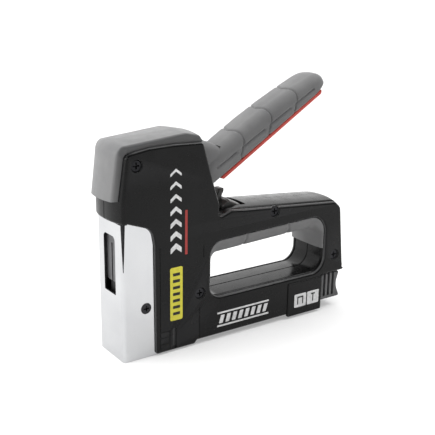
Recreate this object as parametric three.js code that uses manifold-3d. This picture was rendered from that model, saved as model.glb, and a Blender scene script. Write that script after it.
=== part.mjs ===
// Hand-squeezed staple gun: clamshell body, chrome nose, spring-driven hammer and a rear-loading magazine.
// Millimetres, +Z up, +X from the nose to the rear, the mid-plane at Y = 0.
// Every outline is drawn in the side view as [x, z, corner setback].
import * as THREE from 'three';
import { mergeVertices } from 'three/addons/utils/BufferGeometryUtils.js';
import Module from 'manifold-3d';

const wasm = await Module();
wasm.setup();

// ---------------------------------------------------------------- driving dimensions
const GAP = 0.3;                  // clearance between touching pieces
const BODY_LENGTH = 182;          // nose front to rear of the body
const HEAD_HEIGHT = 135;          // top of the body under the bumper
const HALF_WIDTH = 18;            // half of the body's width
const WALL = 2.4;                 // housing wall
const FRONT_BOW = 3.8;            // how far the head's front face bulges forward
const FOOT_HEIGHT = 3.3;          // underside of the rear body
const PAD_RAISE = 0.8;            // raised side pads near the rear

const NOSE_HALF_WIDTH = 16;
const NOSE_DEPTH = 22.4;
const NOSE_TOP = 89.7;
const NOSE_SHEET = 1.5;
const NOSE_EAR = 4.6;             // how far the nose plate reaches into the housing
const WINDOW_HALF_WIDTH = 7.3;
const WINDOW_BOTTOM = 42.9;
const WINDOW_TOP = 78.8;

const LOOP_FRONT = 63.2;          // hand opening
const LOOP_FLOOR = 30.8;
const LOOP_ROOF = 70;
const REAR_COLUMN = 20.8;         // body behind the hand opening
const GRIP_DEPTH = 9.5;           // soft grip under the handle
const HANDLE_TOP = 89;            // handle's top at the neck
const HANDLE_CROWN = 2.2;         // the handle's top edge below its crest
const HANDLE_FALL = 7;            // how far that top falls to the rear

const PIVOT_X = 61;               // lever hinge
const PIVOT_DROP = 28;            // hinge below the top of the body
const HUB_RADIUS = 26;
const LEVER_ANGLE = 30;           // lever's rise above level, in degrees
const LEVER_LENGTH = 120;
const LEVER_HALF_WIDTH = 13;
const PIN_RADIUS = 3;
const ARM_RADIUS = 36.5;          // hinge to the tip that lifts the hammer
const ARM_DROP_ANGLE = 18;        // tip below level at rest, in degrees
const TIP_RADIUS = 3;

const HAMMER_BOTTOM = 50;
const HAMMER_HEIGHT = 30;
const HAMMER_DEPTH = 15.1;
const HAMMER_HALF_WIDTH = 12.9;
const SPRING_RADIUS = 6;
const SPRING_WIRE = 0.9;
const SPRING_TURNS = 7;

const STAPLE_CROWN = 10.6;
const STAPLE_LEG = 10;
const STAPLE_WIRE = 1;
const STRIP_LENGTH = 52;
const RAIL_BOTTOM = 2.2;
const PULL_LENGTH = 19.2;
const PULL_BOTTOM = 6.7;
const PULL_TOP = 26.5;
const PULL_HALF_WIDTH = 16.5;

const SCREW_HEAD_RADIUS = 3.7;
const SCREW_RADIUS = 1.7;

// ---------------------------------------------------------------- worked out
const INNER_HALF = HALF_WIDTH - WALL;
const LAP_HALF = NOSE_HALF_WIDTH + GAP;
const CASING_LIP = NOSE_TOP + 2 * GAP;
const NECK_X = 70.8;
const LOOP_REAR = BODY_LENGTH - REAR_COLUMN;
const PULL_FRONT = BODY_LENGTH - 0.9 - PULL_LENGTH;
const REAR_WALL_X = PULL_FRONT - 1.6;
const BUMPER_FRONT = -7.2;
const ORIGIN_X = (BUMPER_FRONT + BODY_LENGTH) / 2;
const PIVOT_Z = HEAD_HEIGHT - PIVOT_DROP;
const HANDLE_REAR_TOP = HANDLE_TOP - HANDLE_FALL;
const RAIL_HALF = STAPLE_CROWN / 2 - STAPLE_WIRE - GAP;
const RAIL_TOP = RAIL_BOTTOM + STAPLE_LEG - 0.4;
const STRIP_TOP = RAIL_TOP + GAP + STAPLE_WIRE;
const CHANNEL_INNER = STAPLE_CROWN / 2 + GAP;
const CHANNEL_SHEET = 1;
const CHANNEL_HALF = CHANNEL_INNER + CHANNEL_SHEET;
const CHANNEL_TOP = STRIP_TOP + GAP + CHANNEL_SHEET;
const SLOT_HALF = CHANNEL_HALF + GAP;
const SLOT_TOP = CHANNEL_TOP + GAP;
const ROOF_TOP = SLOT_TOP + WALL;
const BLADE_FRONT = 3.3;
const BLADE_SHEET = 1.2;
const BLADE_HALF = STAPLE_CROWN / 2 - GAP;
const BLADE_PIN_RADIUS = 1.5;
const BLADE_PIN_Z = HAMMER_BOTTOM + 16;
const WEB_HALF = 9;
const LUG_HALF = 6;
const NOSE_SCREW = [16.3, 33.5];
const NOSE_SCREW_HEAD = 3.4;
const CORE_HALF = NOSE_HALF_WIDTH - NOSE_SHEET - GAP;
const CORE_TOP = WINDOW_BOTTOM + 0.6;
const CORE_FRONT = BLADE_FRONT + BLADE_SHEET + 0.5;
const STRIP_FRONT = CORE_FRONT;
const STRIP_REAR = STRIP_FRONT + STRIP_LENGTH;
const HAMMER_FRONT = NOSE_SHEET + 0.4;
const HAMMER_BACK = HAMMER_FRONT + HAMMER_DEPTH;
const HAMMER_TOP = HAMMER_BOTTOM + HAMMER_HEIGHT;
const SPRING_X = (HAMMER_FRONT + HAMMER_BACK) / 2 + 0.5;
const SEAT_Z = HEAD_HEIGHT - 16.8;
const SEAT_SHEET = 1.6;
const TIP_X = PIVOT_X - ARM_RADIUS * Math.cos(THREE.MathUtils.degToRad(ARM_DROP_ANGLE));
const TIP_Z = PIVOT_Z - ARM_RADIUS * Math.sin(THREE.MathUtils.degToRad(ARM_DROP_ANGLE));

// How far a cutter runs past the piece it cuts.
const PAST = 30;

const MATERIALS = {
  casing: { color: 0x2b2b2b, roughness: 0.45, metalness: 0 },
  rubber: { color: 0x7d7f80, roughness: 0.75, metalness: 0 },
  accent: { color: 0xb83228, roughness: 0.5, metalness: 0 },
  chrome: { color: 0xe2e4e6, roughness: 0.12, metalness: 1 },
  steel: { color: 0x8e9093, roughness: 0.35, metalness: 1 },
  black_steel: { color: 0x17181a, roughness: 0.4, metalness: 0.7 },
  staple: { color: 0xb9bcbf, roughness: 0.25, metalness: 1 },
  damper: { color: 0x1c1c1c, roughness: 0.8, metalness: 0 },
};

// ---------------------------------------------------------------- geometry helpers
const root = new THREE.Group();
const model = new THREE.Group();
model.position.x = -ORIGIN_X;
root.add(model);

const lever = new THREE.Group();
lever.position.set(PIVOT_X, 0, PIVOT_Z);
lever.rotation.y = -THREE.MathUtils.degToRad(LEVER_ANGLE);
model.add(lever);

function solid(geometry) {
  const bare = geometry.index ? geometry.toNonIndexed() : geometry.clone();
  bare.deleteAttribute('normal');
  bare.deleteAttribute('uv');
  const merged = mergeVertices(bare, 1e-5);
  return new wasm.Manifold(new wasm.Mesh({
    numProp: 3,
    vertProperties: new Float32Array(merged.attributes.position.array),
    triVerts: new Uint32Array(merged.index.array),
  }));
}

function geometryOf(manifold) {
  const mesh = manifold.getMesh();
  const geometry = new THREE.BufferGeometry();
  geometry.setAttribute('position', new THREE.BufferAttribute(mesh.vertProperties, 3));
  geometry.setIndex(new THREE.BufferAttribute(mesh.triVerts, 1));
  geometry.computeVertexNormals();
  return geometry;
}

function add(name, manifold, finish, parent = model) {
  const mesh = new THREE.Mesh(geometryOf(manifold), new THREE.MeshStandardMaterial(MATERIALS[finish]));
  mesh.name = name;
  parent.add(mesh);
  return mesh;
}

// A closed outline whose corners may be rounded: each point is [x, z, setback].
function outline(points) {
  const shape = new THREE.Shape();
  const count = points.length;
  points.forEach(([x, z, setback = 0], i) => {
    const [px, pz] = points[(i + count - 1) % count];
    const [nx, nz] = points[(i + 1) % count];
    const towards = (qx, qz) => {
      const length = Math.hypot(qx - x, qz - z);
      const step = Math.min(setback, length * 0.49) / length;
      return [x + (qx - x) * step, z + (qz - z) * step];
    };
    const [ax, az] = towards(px, pz);
    const [bx, bz] = towards(nx, nz);
    if (i === 0) shape.moveTo(ax, az);
    else shape.lineTo(ax, az);
    if (setback > 0) shape.quadraticCurveTo(x, z, bx, bz);
  });
  shape.closePath();
  return shape;
}

// A side-view outline carried across the width from y0 to y1.
function slab(points, y0, y1, curveSegments = 5) {
  const geometry = new THREE.ExtrudeGeometry(outline(points), {
    depth: y1 - y0,
    steps: 1,
    curveSegments,
    bevelEnabled: false,
  });
  geometry.rotateX(Math.PI / 2);
  geometry.translate(0, y1, 0);
  return solid(geometry);
}

function across(points, half, curveSegments = 5) {
  return slab(points, -half, half, curveSegments);
}

// A cross-section of [y, z, corner setback] points carried along X.
function along(points, x0, x1) {
  const geometry = new THREE.ExtrudeGeometry(outline(points), {
    depth: x1 - x0,
    steps: 1,
    curveSegments: 4,
    bevelEnabled: false,
  });
  geometry.rotateX(Math.PI / 2);
  geometry.rotateZ(Math.PI / 2);
  geometry.translate(x0, 0, 0);
  return solid(geometry);
}

function box(x0, x1, y0, y1, z0, z1) {
  const geometry = new THREE.BoxGeometry(x1 - x0, y1 - y0, z1 - z0);
  geometry.translate((x0 + x1) / 2, (y0 + y1) / 2, (z0 + z1) / 2);
  return solid(geometry);
}

function post(x, z, radius, y0, y1, segments = 20) {
  const geometry = new THREE.CylinderGeometry(radius, radius, y1 - y0, segments);
  geometry.translate(x, (y0 + y1) / 2, z);
  return solid(geometry);
}

function barX(x0, x1, radius, z, segments = 12) {
  const geometry = new THREE.CylinderGeometry(radius, radius, x1 - x0, segments);
  geometry.rotateZ(Math.PI / 2);
  geometry.translate((x0 + x1) / 2, 0, z);
  return solid(geometry);
}

function barZ(x, z0, z1, radius, segments = 16) {
  const geometry = new THREE.CylinderGeometry(radius, radius, z1 - z0, segments);
  geometry.rotateX(Math.PI / 2);
  geometry.translate(x, 0, (z0 + z1) / 2);
  return solid(geometry);
}

// The plan of the body, bowed at the front and grown by `offset`, carried up its full height.
function planPrism(offset) {
  const half = HALF_WIDTH + PAD_RAISE + offset;
  const rear = BODY_LENGTH + offset;
  const corner = 4;
  const shape = new THREE.Shape();
  const steps = 8;
  for (let i = 0; i <= steps; i += 1) {
    const y = half * (1 - (2 * i) / steps);
    const x = -offset - 3 + FRONT_BOW * (y / half) ** 2;
    if (i === 0) shape.moveTo(x, y);
    else shape.lineTo(x, y);
  }
  shape.lineTo(rear - corner, -half);
  shape.quadraticCurveTo(rear, -half, rear, -half + corner);
  shape.lineTo(rear, half - corner);
  shape.quadraticCurveTo(rear, half, rear - corner, half);
  shape.closePath();
  const geometry = new THREE.ExtrudeGeometry(shape, { depth: 400, bevelEnabled: false, curveSegments: 4 });
  geometry.translate(0, 0, -100);
  return solid(geometry);
}

class Helix extends THREE.Curve {
  constructor(radius, turns, length) {
    super();
    Object.assign(this, { radius, turns, length });
  }

  getPoint(t, target = new THREE.Vector3()) {
    const angle = 2 * Math.PI * this.turns * t;
    return target.set(this.radius * Math.cos(angle), this.radius * Math.sin(angle), this.length * t);
  }
}

function wireAlong(path, wireRadius, steps, sides = 6) {
  const section = new THREE.Shape();
  for (let i = 0; i < sides; i += 1) {
    const angle = (2 * Math.PI * i) / sides;
    const x = wireRadius * Math.cos(angle);
    const y = wireRadius * Math.sin(angle);
    if (i === 0) section.moveTo(x, y);
    else section.lineTo(x, y);
  }
  section.closePath();
  return new THREE.ExtrudeGeometry(section, { steps, extrudePath: path, bevelEnabled: false });
}

// ---------------------------------------------------------------- shared places
const NECK_TOP = [56.5, HEAD_HEIGHT - 0.8, 2];
const ROOF_LINE = [
  [1.9, HEAD_HEIGHT - 3.4, 3],
  [6.4, HEAD_HEIGHT - 2.6, 1],
  [19.1, HEAD_HEIGHT - 0.7, 2],
  [36.3, HEAD_HEIGHT - 0.1, 2],
  NECK_TOP,
];

const BODY_OUTLINE = [
  [NOSE_DEPTH, 1],
  [NOSE_DEPTH - 0.6, 74, 2],
  [NOSE_DEPTH - 2.2, 84.6, 7],
  [0, CASING_LIP],
  [-6, CASING_LIP],
  [-6, CASING_LIP + 13.8],
  [-2.7, CASING_LIP + 14],
  ...ROOF_LINE,
  [PIVOT_X + 3.8, PIVOT_Z + 3.9],
  [NECK_X, HANDLE_TOP + 3.4, 2],
  [NECK_X - 0.6, HANDLE_TOP - 4.5, 2],
  [NECK_X + 9, HANDLE_TOP - 1, 2],
  [NECK_X + 18, HANDLE_TOP],
  [BODY_LENGTH - 6, HANDLE_REAR_TOP, 8],
  [BODY_LENGTH, LOOP_FLOOR],
  [BODY_LENGTH, PULL_TOP + 1.6, 1.5],
  [REAR_WALL_X, PULL_TOP + 0.7],
  [REAR_WALL_X, FOOT_HEIGHT],
  [NOSE_DEPTH + 31, FOOT_HEIGHT],
  [NOSE_DEPTH + 29.6, 1],
];

const LOOP_OUTLINE = [
  [LOOP_FRONT, LOOP_FLOOR, 7],
  [LOOP_FRONT, LOOP_ROOF - 1.5, 10],
  [LOOP_REAR, LOOP_ROOF + 2.2, 12],
  [LOOP_REAR, LOOP_FLOOR, 14],
];

const SCREW_PLACES = [
  [10.2, HEAD_HEIGHT - 9.8],
  [LOOP_FRONT + 52.2, HANDLE_TOP - 7.3],
  [BODY_LENGTH - 10.2, LOOP_FLOOR + 9.9],
  [LOOP_FRONT - 7.7, LOOP_FLOOR + 4.9],
];
const BOSS_RADIUS = 4.3;
const LATCH_X = NECK_X + 7.7;
const LATCH_Z = HANDLE_TOP - 6.5;
const LATCH_PIN_RADIUS = 1.5;
const FOOT_SLOT_FRONT = NOSE_DEPTH + 13.4;
const WELL_HALF = 10;
const WELL_REAR = NECK_X + 31;
const WELL_FLOOR = HANDLE_TOP - 10.5;

// ---------------------------------------------------------------- housings
// The wedge cut from the handle's top on one side, which leaves the top crowned.
function handleShoulder(side) {
  const fall = Math.atan2(HANDLE_FALL, BODY_LENGTH - 6 - NECK_X - 18);
  const wedge = along([
    [side * 6, 0],
    [side * (HALF_WIDTH + 5), -HANDLE_CROWN * (HALF_WIDTH - 1) / (HALF_WIDTH - 6)],
    [side * (HALF_WIDTH + 5), 10],
    [side * 6, 10],
  ], 0, BODY_LENGTH);
  return wedge.rotate([0, THREE.MathUtils.radToDeg(fall), 0]).translate([NECK_X + 18, 0, HANDLE_TOP]);
}

function housingBody() {
  let body = across(BODY_OUTLINE, HALF_WIDTH);
  const pad = [
    [BODY_LENGTH - 53, FOOT_HEIGHT - 1.6, 1],
    [BODY_LENGTH - 53, 26.5, 1],
    [REAR_WALL_X, 26.5, 1],
    [REAR_WALL_X, FOOT_HEIGHT - 1.6, 1],
  ];
  body = body.add(across(pad, HALF_WIDTH + PAD_RAISE));
  [-1, 1].forEach((side) => {
    body = body.subtract(handleShoulder(side));
  });
  return body.intersect(planPrism(0));
}

function headCavity() {
  return across([
    [-8, CASING_LIP - 12],
    [-8, CASING_LIP + 14],
    [4.4, HEAD_HEIGHT - 5.4],
    [19.1, HEAD_HEIGHT - 3.2],
    [36.3, HEAD_HEIGHT - 2.6],
    [NECK_X + 12, HEAD_HEIGHT - 2.6],
    [NECK_X + 12, HANDLE_TOP + 3],
    [LOOP_FRONT - WALL, HANDLE_TOP - 9],
    [LOOP_FRONT - WALL, ROOF_TOP],
    [NOSE_DEPTH + NOSE_EAR + GAP, ROOF_TOP],
    [NOSE_DEPTH + NOSE_EAR + GAP, CASING_LIP - 12],
  ], INNER_HALF);
}

function handleCavity() {
  return across([
    [LOOP_FRONT - WALL - 1, HANDLE_TOP - 9],
    [NECK_X + 3, WELL_FLOOR + WALL],
    [WELL_REAR + 1, HANDLE_TOP - WALL - 1.4],
    [BODY_LENGTH - 12, HANDLE_REAR_TOP - WALL - 1],
    [BODY_LENGTH - WALL - 1, HANDLE_REAR_TOP - 13],
    [BODY_LENGTH - WALL, LOOP_FLOOR],
    [LOOP_REAR + WALL, LOOP_FLOOR],
    [LOOP_REAR + WALL, LOOP_ROOF - 8],
    [LOOP_REAR - 6, LOOP_ROOF + WALL + 2.2],
    [LOOP_FRONT + 8, LOOP_ROOF + WALL],
  ], INNER_HALF);
}

function magazineBay() {
  const rear = REAR_WALL_X - WALL;
  const roof = box(NOSE_DEPTH + NOSE_EAR, rear, -INNER_HALF, INNER_HALF, ROOF_TOP, LOOP_FLOOR - WALL);
  const sideWalls = SLOT_HALF + WALL;
  const pocketFront = NOSE_DEPTH + 24;
  const pocketFloor = FOOT_HEIGHT + WALL;
  const pocket = (y0, y1) => box(pocketFront, rear, y0, y1, pocketFloor, ROOF_TOP + 0.1);
  return roof.add(pocket(sideWalls, INNER_HALF)).add(pocket(-INNER_HALF, -sideWalls));
}

function bosses(y0, y1) {
  let all = post(LATCH_X, LATCH_Z, 3.6, WELL_HALF, INNER_HALF + 0.5);
  all = all.add(post(PIVOT_X, PIVOT_Z, 7, LEVER_HALF_WIDTH + GAP, INNER_HALF + 0.5));
  if (y0 < 0) {
    all = all.mirror([0, 1, 0]);
  }
  SCREW_PLACES.forEach(([x, z]) => {
    all = all.add(post(x, z, BOSS_RADIUS, y0, y1));
  });
  return all;
}

function housing(side) {
  const outer = housingBody();
  const inside = headCavity().add(handleCavity()).intersect(planPrism(-WALL));
  let shell = outer.subtract(inside).subtract(magazineBay());
  const seam = GAP / 2;
  const [y0, y1] = side < 0 ? [-HALF_WIDTH + 0.5, -seam] : [seam, HALF_WIDTH - 0.5];
  shell = shell.add(bosses(y0, y1).intersect(outer));

  // openings and recesses
  const lapTop = CASING_LIP + 8;
  const lapRear = NOSE_DEPTH + NOSE_EAR + GAP;
  shell = shell.subtract(across(LOOP_OUTLINE, HALF_WIDTH + 5));
  shell = shell.subtract(box(NOSE_SHEET + 2.2, lapRear, -LAP_HALF, LAP_HALF, -5, lapTop));
  shell = shell.subtract(box(-9, 5, -PAST, PAST, -5, NOSE_TOP + GAP));
  shell = shell.subtract(box(-1, REAR_WALL_X + 5, -SLOT_HALF, SLOT_HALF, -5, SLOT_TOP));
  shell = shell.subtract(box(REAR_WALL_X - 9, REAR_WALL_X + 5, -4.5, 4.5, ROOF_TOP + 0.6, ROOF_TOP + 5.4));
  const room = LEVER_HALF_WIDTH + 0.6;
  shell = shell.subtract(box(PIVOT_X - 9, PIVOT_X + 20, -room, room, PIVOT_Z + 10, HEAD_HEIGHT + 5));
  shell = shell.subtract(box(NECK_X - 5, WELL_REAR, -WELL_HALF, WELL_HALF, WELL_FLOOR, HEAD_HEIGHT));
  shell = shell.subtract(box(FOOT_SLOT_FRONT, FOOT_SLOT_FRONT + 2.6, -PAST, PAST, 2.2, 16.2));

  // pins and screws
  shell = shell.subtract(post(PIVOT_X, PIVOT_Z, PIN_RADIUS + GAP, -INNER_HALF - 1.3, INNER_HALF + 1.3));
  shell = shell.subtract(post(LATCH_X, LATCH_Z, LATCH_PIN_RADIUS + GAP, -13.3, 13.3, 12));
  SCREW_PLACES.forEach(([x, z]) => {
    shell = shell.subtract(post(x, z, SCREW_RADIUS + GAP, -HALF_WIDTH - 1, HALF_WIDTH - 5.5, 12));
    shell = shell.subtract(post(x, z, SCREW_HEAD_RADIUS + GAP, -HALF_WIDTH - 1, -HALF_WIDTH + 3));
  });
  const keep = side < 0 ? [-HALF_WIDTH - 5, -seam] : [seam, HALF_WIDTH + 5];
  return shell.intersect(box(-50, BODY_LENGTH + 50, keep[0], keep[1], -50, HEAD_HEIGHT + 50));
}

function housingScrew([x, z]) {
  const headOuter = -HALF_WIDTH + 0.7;
  const headInner = -HALF_WIDTH + 3 - GAP;
  let screw = post(x, z, SCREW_HEAD_RADIUS, headOuter, headInner);
  screw = screw.add(post(x, z, SCREW_RADIUS, headInner - 0.5, HALF_WIDTH - 6, 10));
  return screw.subtract(crossRecess(x, z, headOuter));
}

function crossRecess(x, z, headOuter) {
  const arm = 2.1;
  const half = 0.45;
  const depth = 1.2;
  const along = box(x - arm, x + arm, headOuter - 1, headOuter + depth, z - half, z + half);
  return along.add(box(x - half, x + half, headOuter - 1, headOuter + depth, z - arm, z + arm));
}

// ---------------------------------------------------------------- nose
function nosePlate() {
  const plan = (half, front, rear, corner) => {
    const shape = new THREE.Shape();
    shape.moveTo(rear, -half);
    shape.lineTo(front + corner, -half);
    shape.quadraticCurveTo(front, -half, front, -half + corner);
    shape.lineTo(front, half - corner);
    shape.quadraticCurveTo(front, half, front + corner, half);
    shape.lineTo(rear, half);
    shape.closePath();
    return shape;
  };
  const rise = CASING_LIP + 7.5;
  const carried = (shape) => solid(new THREE.ExtrudeGeometry(shape, {
    depth: rise, bevelEnabled: false, curveSegments: 4,
  }));
  const rear = NOSE_DEPTH + NOSE_EAR;
  let plate = carried(plan(NOSE_HALF_WIDTH, 0, rear, 2.5));
  plate = plate.subtract(carried(plan(NOSE_HALF_WIDTH - NOSE_SHEET, NOSE_SHEET, rear + 5, 1)));
  plate = plate.subtract(box(-5, NOSE_SHEET + 2.5, -30, 30, NOSE_TOP, HEAD_HEIGHT));
  const window = new THREE.Shape();
  const corner = 4;
  const half = WINDOW_HALF_WIDTH;
  window.moveTo(WINDOW_BOTTOM, -half);
  window.lineTo(WINDOW_TOP - corner, -half);
  window.quadraticCurveTo(WINDOW_TOP, -half, WINDOW_TOP, -half + corner);
  window.lineTo(WINDOW_TOP, half - corner);
  window.quadraticCurveTo(WINDOW_TOP, half, WINDOW_TOP - corner, half);
  window.lineTo(WINDOW_BOTTOM, half);
  window.closePath();
  const cutter = new THREE.ExtrudeGeometry(window, { depth: 6, bevelEnabled: false, curveSegments: 4 });
  cutter.rotateY(-Math.PI / 2);
  cutter.translate(3, 0, 0);
  plate = plate.subtract(solid(cutter));
  return plate.subtract(post(...NOSE_SCREW, NOSE_SCREW_HEAD + GAP, -PAST, PAST));
}

function noseCore() {
  let core = box(CORE_FRONT, NOSE_DEPTH - 0.9, -CORE_HALF, CORE_HALF, 0.3, CORE_TOP);
  core = core.subtract(box(CORE_FRONT - 1, NOSE_DEPTH, -SLOT_HALF, SLOT_HALF, -1, SLOT_TOP));
  return core.subtract(post(...NOSE_SCREW, 1.8, -PAST, PAST, 12));
}

function guidePlate() {
  const half = CORE_HALF - 0.4;
  return box(NOSE_SHEET + GAP, BLADE_FRONT - GAP, -half, half, 0.6, WINDOW_BOTTOM - 1.4);
}

function noseScrew(side) {
  const inner = CORE_HALF + GAP;
  const outer = NOSE_HALF_WIDTH + 0.4;
  let screw = post(...NOSE_SCREW, NOSE_SCREW_HEAD, -outer, -inner);
  screw = screw.add(post(...NOSE_SCREW, 1.5, -inner - 0.2, -6, 10));
  screw = screw.subtract(crossRecess(...NOSE_SCREW, -outer));
  return side < 0 ? screw : screw.mirror([0, 1, 0]);
}

// ---------------------------------------------------------------- drive
function hammer() {
  const half = HAMMER_HALF_WIDTH;
  const lugBottom = TIP_Z + TIP_RADIUS + 0.6;
  const lugTop = lugBottom + 4.6;
  const web = HAMMER_BACK + 3.4;
  const slitTop = HAMMER_TOP - 5;
  let block = box(HAMMER_FRONT, HAMMER_BACK, -half, half, HAMMER_BOTTOM, HAMMER_TOP);

  // web and lug that the lever's tip lifts, and the post inside the main spring
  block = block.add(box(HAMMER_BACK - 1, web, -WEB_HALF, WEB_HALF, HAMMER_BOTTOM + 10, HAMMER_TOP));
  block = block.add(box(HAMMER_BACK + 0.4, web, -WEB_HALF, WEB_HALF, HAMMER_TOP - 1, lugTop));
  block = block.add(box(HAMMER_BACK + 3, TIP_X + 1.5, -LUG_HALF, LUG_HALF, lugBottom, lugTop));
  block = block.add(barZ(SPRING_X, HAMMER_TOP - 1, HAMMER_TOP + 6, SPRING_RADIUS - SPRING_WIRE - 0.7));

  // slits for the blade, and the hole for its pin
  const slitHalf = BLADE_HALF + GAP;
  const slitBack = BLADE_FRONT + BLADE_SHEET + 0.2;
  const bladeSlit = box(BLADE_FRONT - 0.2, slitBack, -slitHalf, slitHalf, HAMMER_BOTTOM - 1, slitTop);
  const frontSlit = box(HAMMER_FRONT - 1, BLADE_FRONT, -0.7, 0.7, HAMMER_BOTTOM - 1, slitTop);
  block = block.subtract(bladeSlit).subtract(frontSlit);
  return block.subtract(barX(BLADE_FRONT, HAMMER_BACK + 5, BLADE_PIN_RADIUS + GAP, BLADE_PIN_Z));
}

function driverBlade() {
  const blade = box(BLADE_FRONT, BLADE_FRONT + BLADE_SHEET, -BLADE_HALF, BLADE_HALF, 0.6, HAMMER_TOP - 5.4);
  const front = BLADE_FRONT - 1;
  const back = BLADE_FRONT + BLADE_SHEET + 1;
  return blade.subtract(barX(front, back, BLADE_PIN_RADIUS + GAP, BLADE_PIN_Z));
}

function springSeat() {
  const half = INNER_HALF - GAP;
  return box(3.1, HAMMER_BACK + 0.1, -half, half, SEAT_Z, SEAT_Z + SEAT_SHEET);
}

function impactBumper() {
  return box(CORE_FRONT + 0.2, HAMMER_BACK, -9, 9, CORE_TOP + GAP, HAMMER_BOTTOM - GAP);
}

function mainSpring() {
  const bottom = HAMMER_TOP + GAP + SPRING_WIRE;
  const top = SEAT_Z - GAP - SPRING_WIRE;
  const path = new Helix(SPRING_RADIUS, SPRING_TURNS, top - bottom);
  const coil = wireAlong(path, SPRING_WIRE, SPRING_TURNS * 14);
  coil.translate(SPRING_X, 0, bottom);
  return solid(coil);
}

// ---------------------------------------------------------------- lever, drawn level about its hinge
const LEVER_TOP = [
  [HUB_RADIUS * 0.885, 12.1, 1],
  [49.5, 12.75, 6],
  [78, 12.2, 8],
  [LEVER_LENGTH - 14, 9.6, 6],
  [LEVER_LENGTH - 3, 7, 5],
  [LEVER_LENGTH + 1.5, -3, 5],
];
const LEVER_CROSS = [50, 3.6];
const CROSS_PIN_RADIUS = 2;
const CROSS_PIN_HALF = LEVER_HALF_WIDTH - 3.4;
const ARM_HALF = 5.5;
const HOOK_SLOT_OUTER = 31;
const HOOK_SLOT_INNER = 17;
const INSERT_TOP_ROOT = -4.6;
const INSERT_TOP_END = -2;
const INSERT_THICKNESS = 3;

function leverGrip() {
  const grip = across([
    ...LEVER_TOP,
    [LEVER_LENGTH - 4, INSERT_TOP_END + GAP, 2],
    [16, INSERT_TOP_ROOT + GAP],
    [16, 10],
  ], LEVER_HALF_WIDTH);
  const section = along([
    [-LEVER_HALF_WIDTH, -20],
    [-LEVER_HALF_WIDTH, 12.8, 8],
    [LEVER_HALF_WIDTH, 12.8, 8],
    [LEVER_HALF_WIDTH, -20],
  ], 0, LEVER_LENGTH + 5);
  const hub = post(0, 0, HUB_RADIUS + GAP, -PAST, PAST, 64);
  return grip.intersect(section).subtract(leverCore(GAP)).subtract(hub);
}

// The beam inside the grip, grown by a clearance.
function leverCore(grow) {
  return across([
    [5, 8.6 + grow],
    [LEVER_LENGTH - 14 + grow, 5 + grow],
    [LEVER_LENGTH - 14 + grow, -8],
    [5, -10],
  ], LEVER_HALF_WIDTH - 3.2 + grow);
}

// The curved slot under the hub that the lock's hook swings in.
function hookSlot() {
  const from = -92;
  const to = -8;
  const steps = 8;
  const spot = (radius, i) => {
    const angle = THREE.MathUtils.degToRad(from + ((to - from) * i) / steps);
    return [radius * Math.cos(angle), radius * Math.sin(angle)];
  };
  const outer = [];
  const inner = [];
  for (let i = 0; i <= steps; i += 1) {
    outer.push(spot(HOOK_SLOT_OUTER, i));
    inner.push(spot(HOOK_SLOT_INNER, steps - i));
  }
  return across([...outer, ...inner], 4.2);
}

function leverArm() {
  const tipAngle = THREE.MathUtils.degToRad(180 + ARM_DROP_ANGLE - LEVER_ANGLE);
  const tip = [ARM_RADIUS * Math.cos(tipAngle), ARM_RADIUS * Math.sin(tipAngle)];
  let arm = across([
    [tip[0] + 1, tip[1] + 2],
    [tip[0], tip[1] - TIP_RADIUS],
    [-22, -1.5],
    [-6, -7],
    [8, -8.4],
    [16, -8.4],
    [16, -5.4],
    [26, 1.5],
    [62, 0.5],
    [62, 6.6],
    [0, 9],
    [-8, 9],
    [-24, 6.4],
  ], ARM_HALF);
  arm = arm.add(post(...tip, TIP_RADIUS, -ARM_HALF, ARM_HALF, 16));
  arm = arm.subtract(post(0, 0, PIN_RADIUS + GAP, -PAST, PAST));
  arm = arm.subtract(post(...LEVER_CROSS, CROSS_PIN_RADIUS + GAP, -PAST, PAST, 12));
  return arm.subtract(hookSlot());
}

function leverBody() {
  const hubSector = post(0, 0, HUB_RADIUS, -LEVER_HALF_WIDTH, LEVER_HALF_WIDTH, 64).intersect(across([
    [-9, 60],
    [40, 23],
    [HUB_RADIUS + 2, 4],
    [16.6, -4],
    [16.6, -8.6],
    [6, -9.5],
    [-10, 2],
    [-14, 16],
  ], 30));
  const beam = leverCore(0).intersect(across([
    [10, 20],
    [LEVER_LENGTH, 20],
    [LEVER_LENGTH, INSERT_TOP_END + GAP],
    [16, INSERT_TOP_ROOT + GAP],
    [10, -6],
  ], 30));
  let body = hubSector.add(beam);
  const armRoom = across([
    [-60, 20],
    [-8 - GAP, 9 + GAP],
    [0, 9 + GAP],
    [62 + GAP, 6.6 + GAP],
    [62 + GAP, 0.5 - GAP],
    [26 + GAP, 1.5 - GAP],
    [16 + GAP, -5.4 - GAP],
    [16 + GAP, -30],
    [-60, -30],
  ], ARM_HALF + GAP);
  body = body.subtract(armRoom);
  body = body.subtract(post(0, 0, PIN_RADIUS + GAP, -PAST, PAST));
  body = body.subtract(post(0, 0, 11.5, LEVER_HALF_WIDTH - 4, PAST, 24));
  body = body.subtract(post(...LEVER_CROSS, CROSS_PIN_RADIUS + GAP, -PAST, PAST, 12));
  return body.subtract(hookSlot());
}

function leverInsert() {
  const strip = across([
    [17.5, INSERT_TOP_ROOT - GAP / 2, 0.5],
    [LEVER_LENGTH - 6, INSERT_TOP_END - GAP / 2, 1],
    [LEVER_LENGTH - 8, INSERT_TOP_END - INSERT_THICKNESS, 2],
    [19, INSERT_TOP_ROOT - INSERT_THICKNESS, 1],
  ], LEVER_HALF_WIDTH - 3.4);
  return strip.subtract(hookSlot());
}

function leverCrossPin() {
  return post(...LEVER_CROSS, CROSS_PIN_RADIUS, -CROSS_PIN_HALF, CROSS_PIN_HALF, 12);
}

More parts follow.
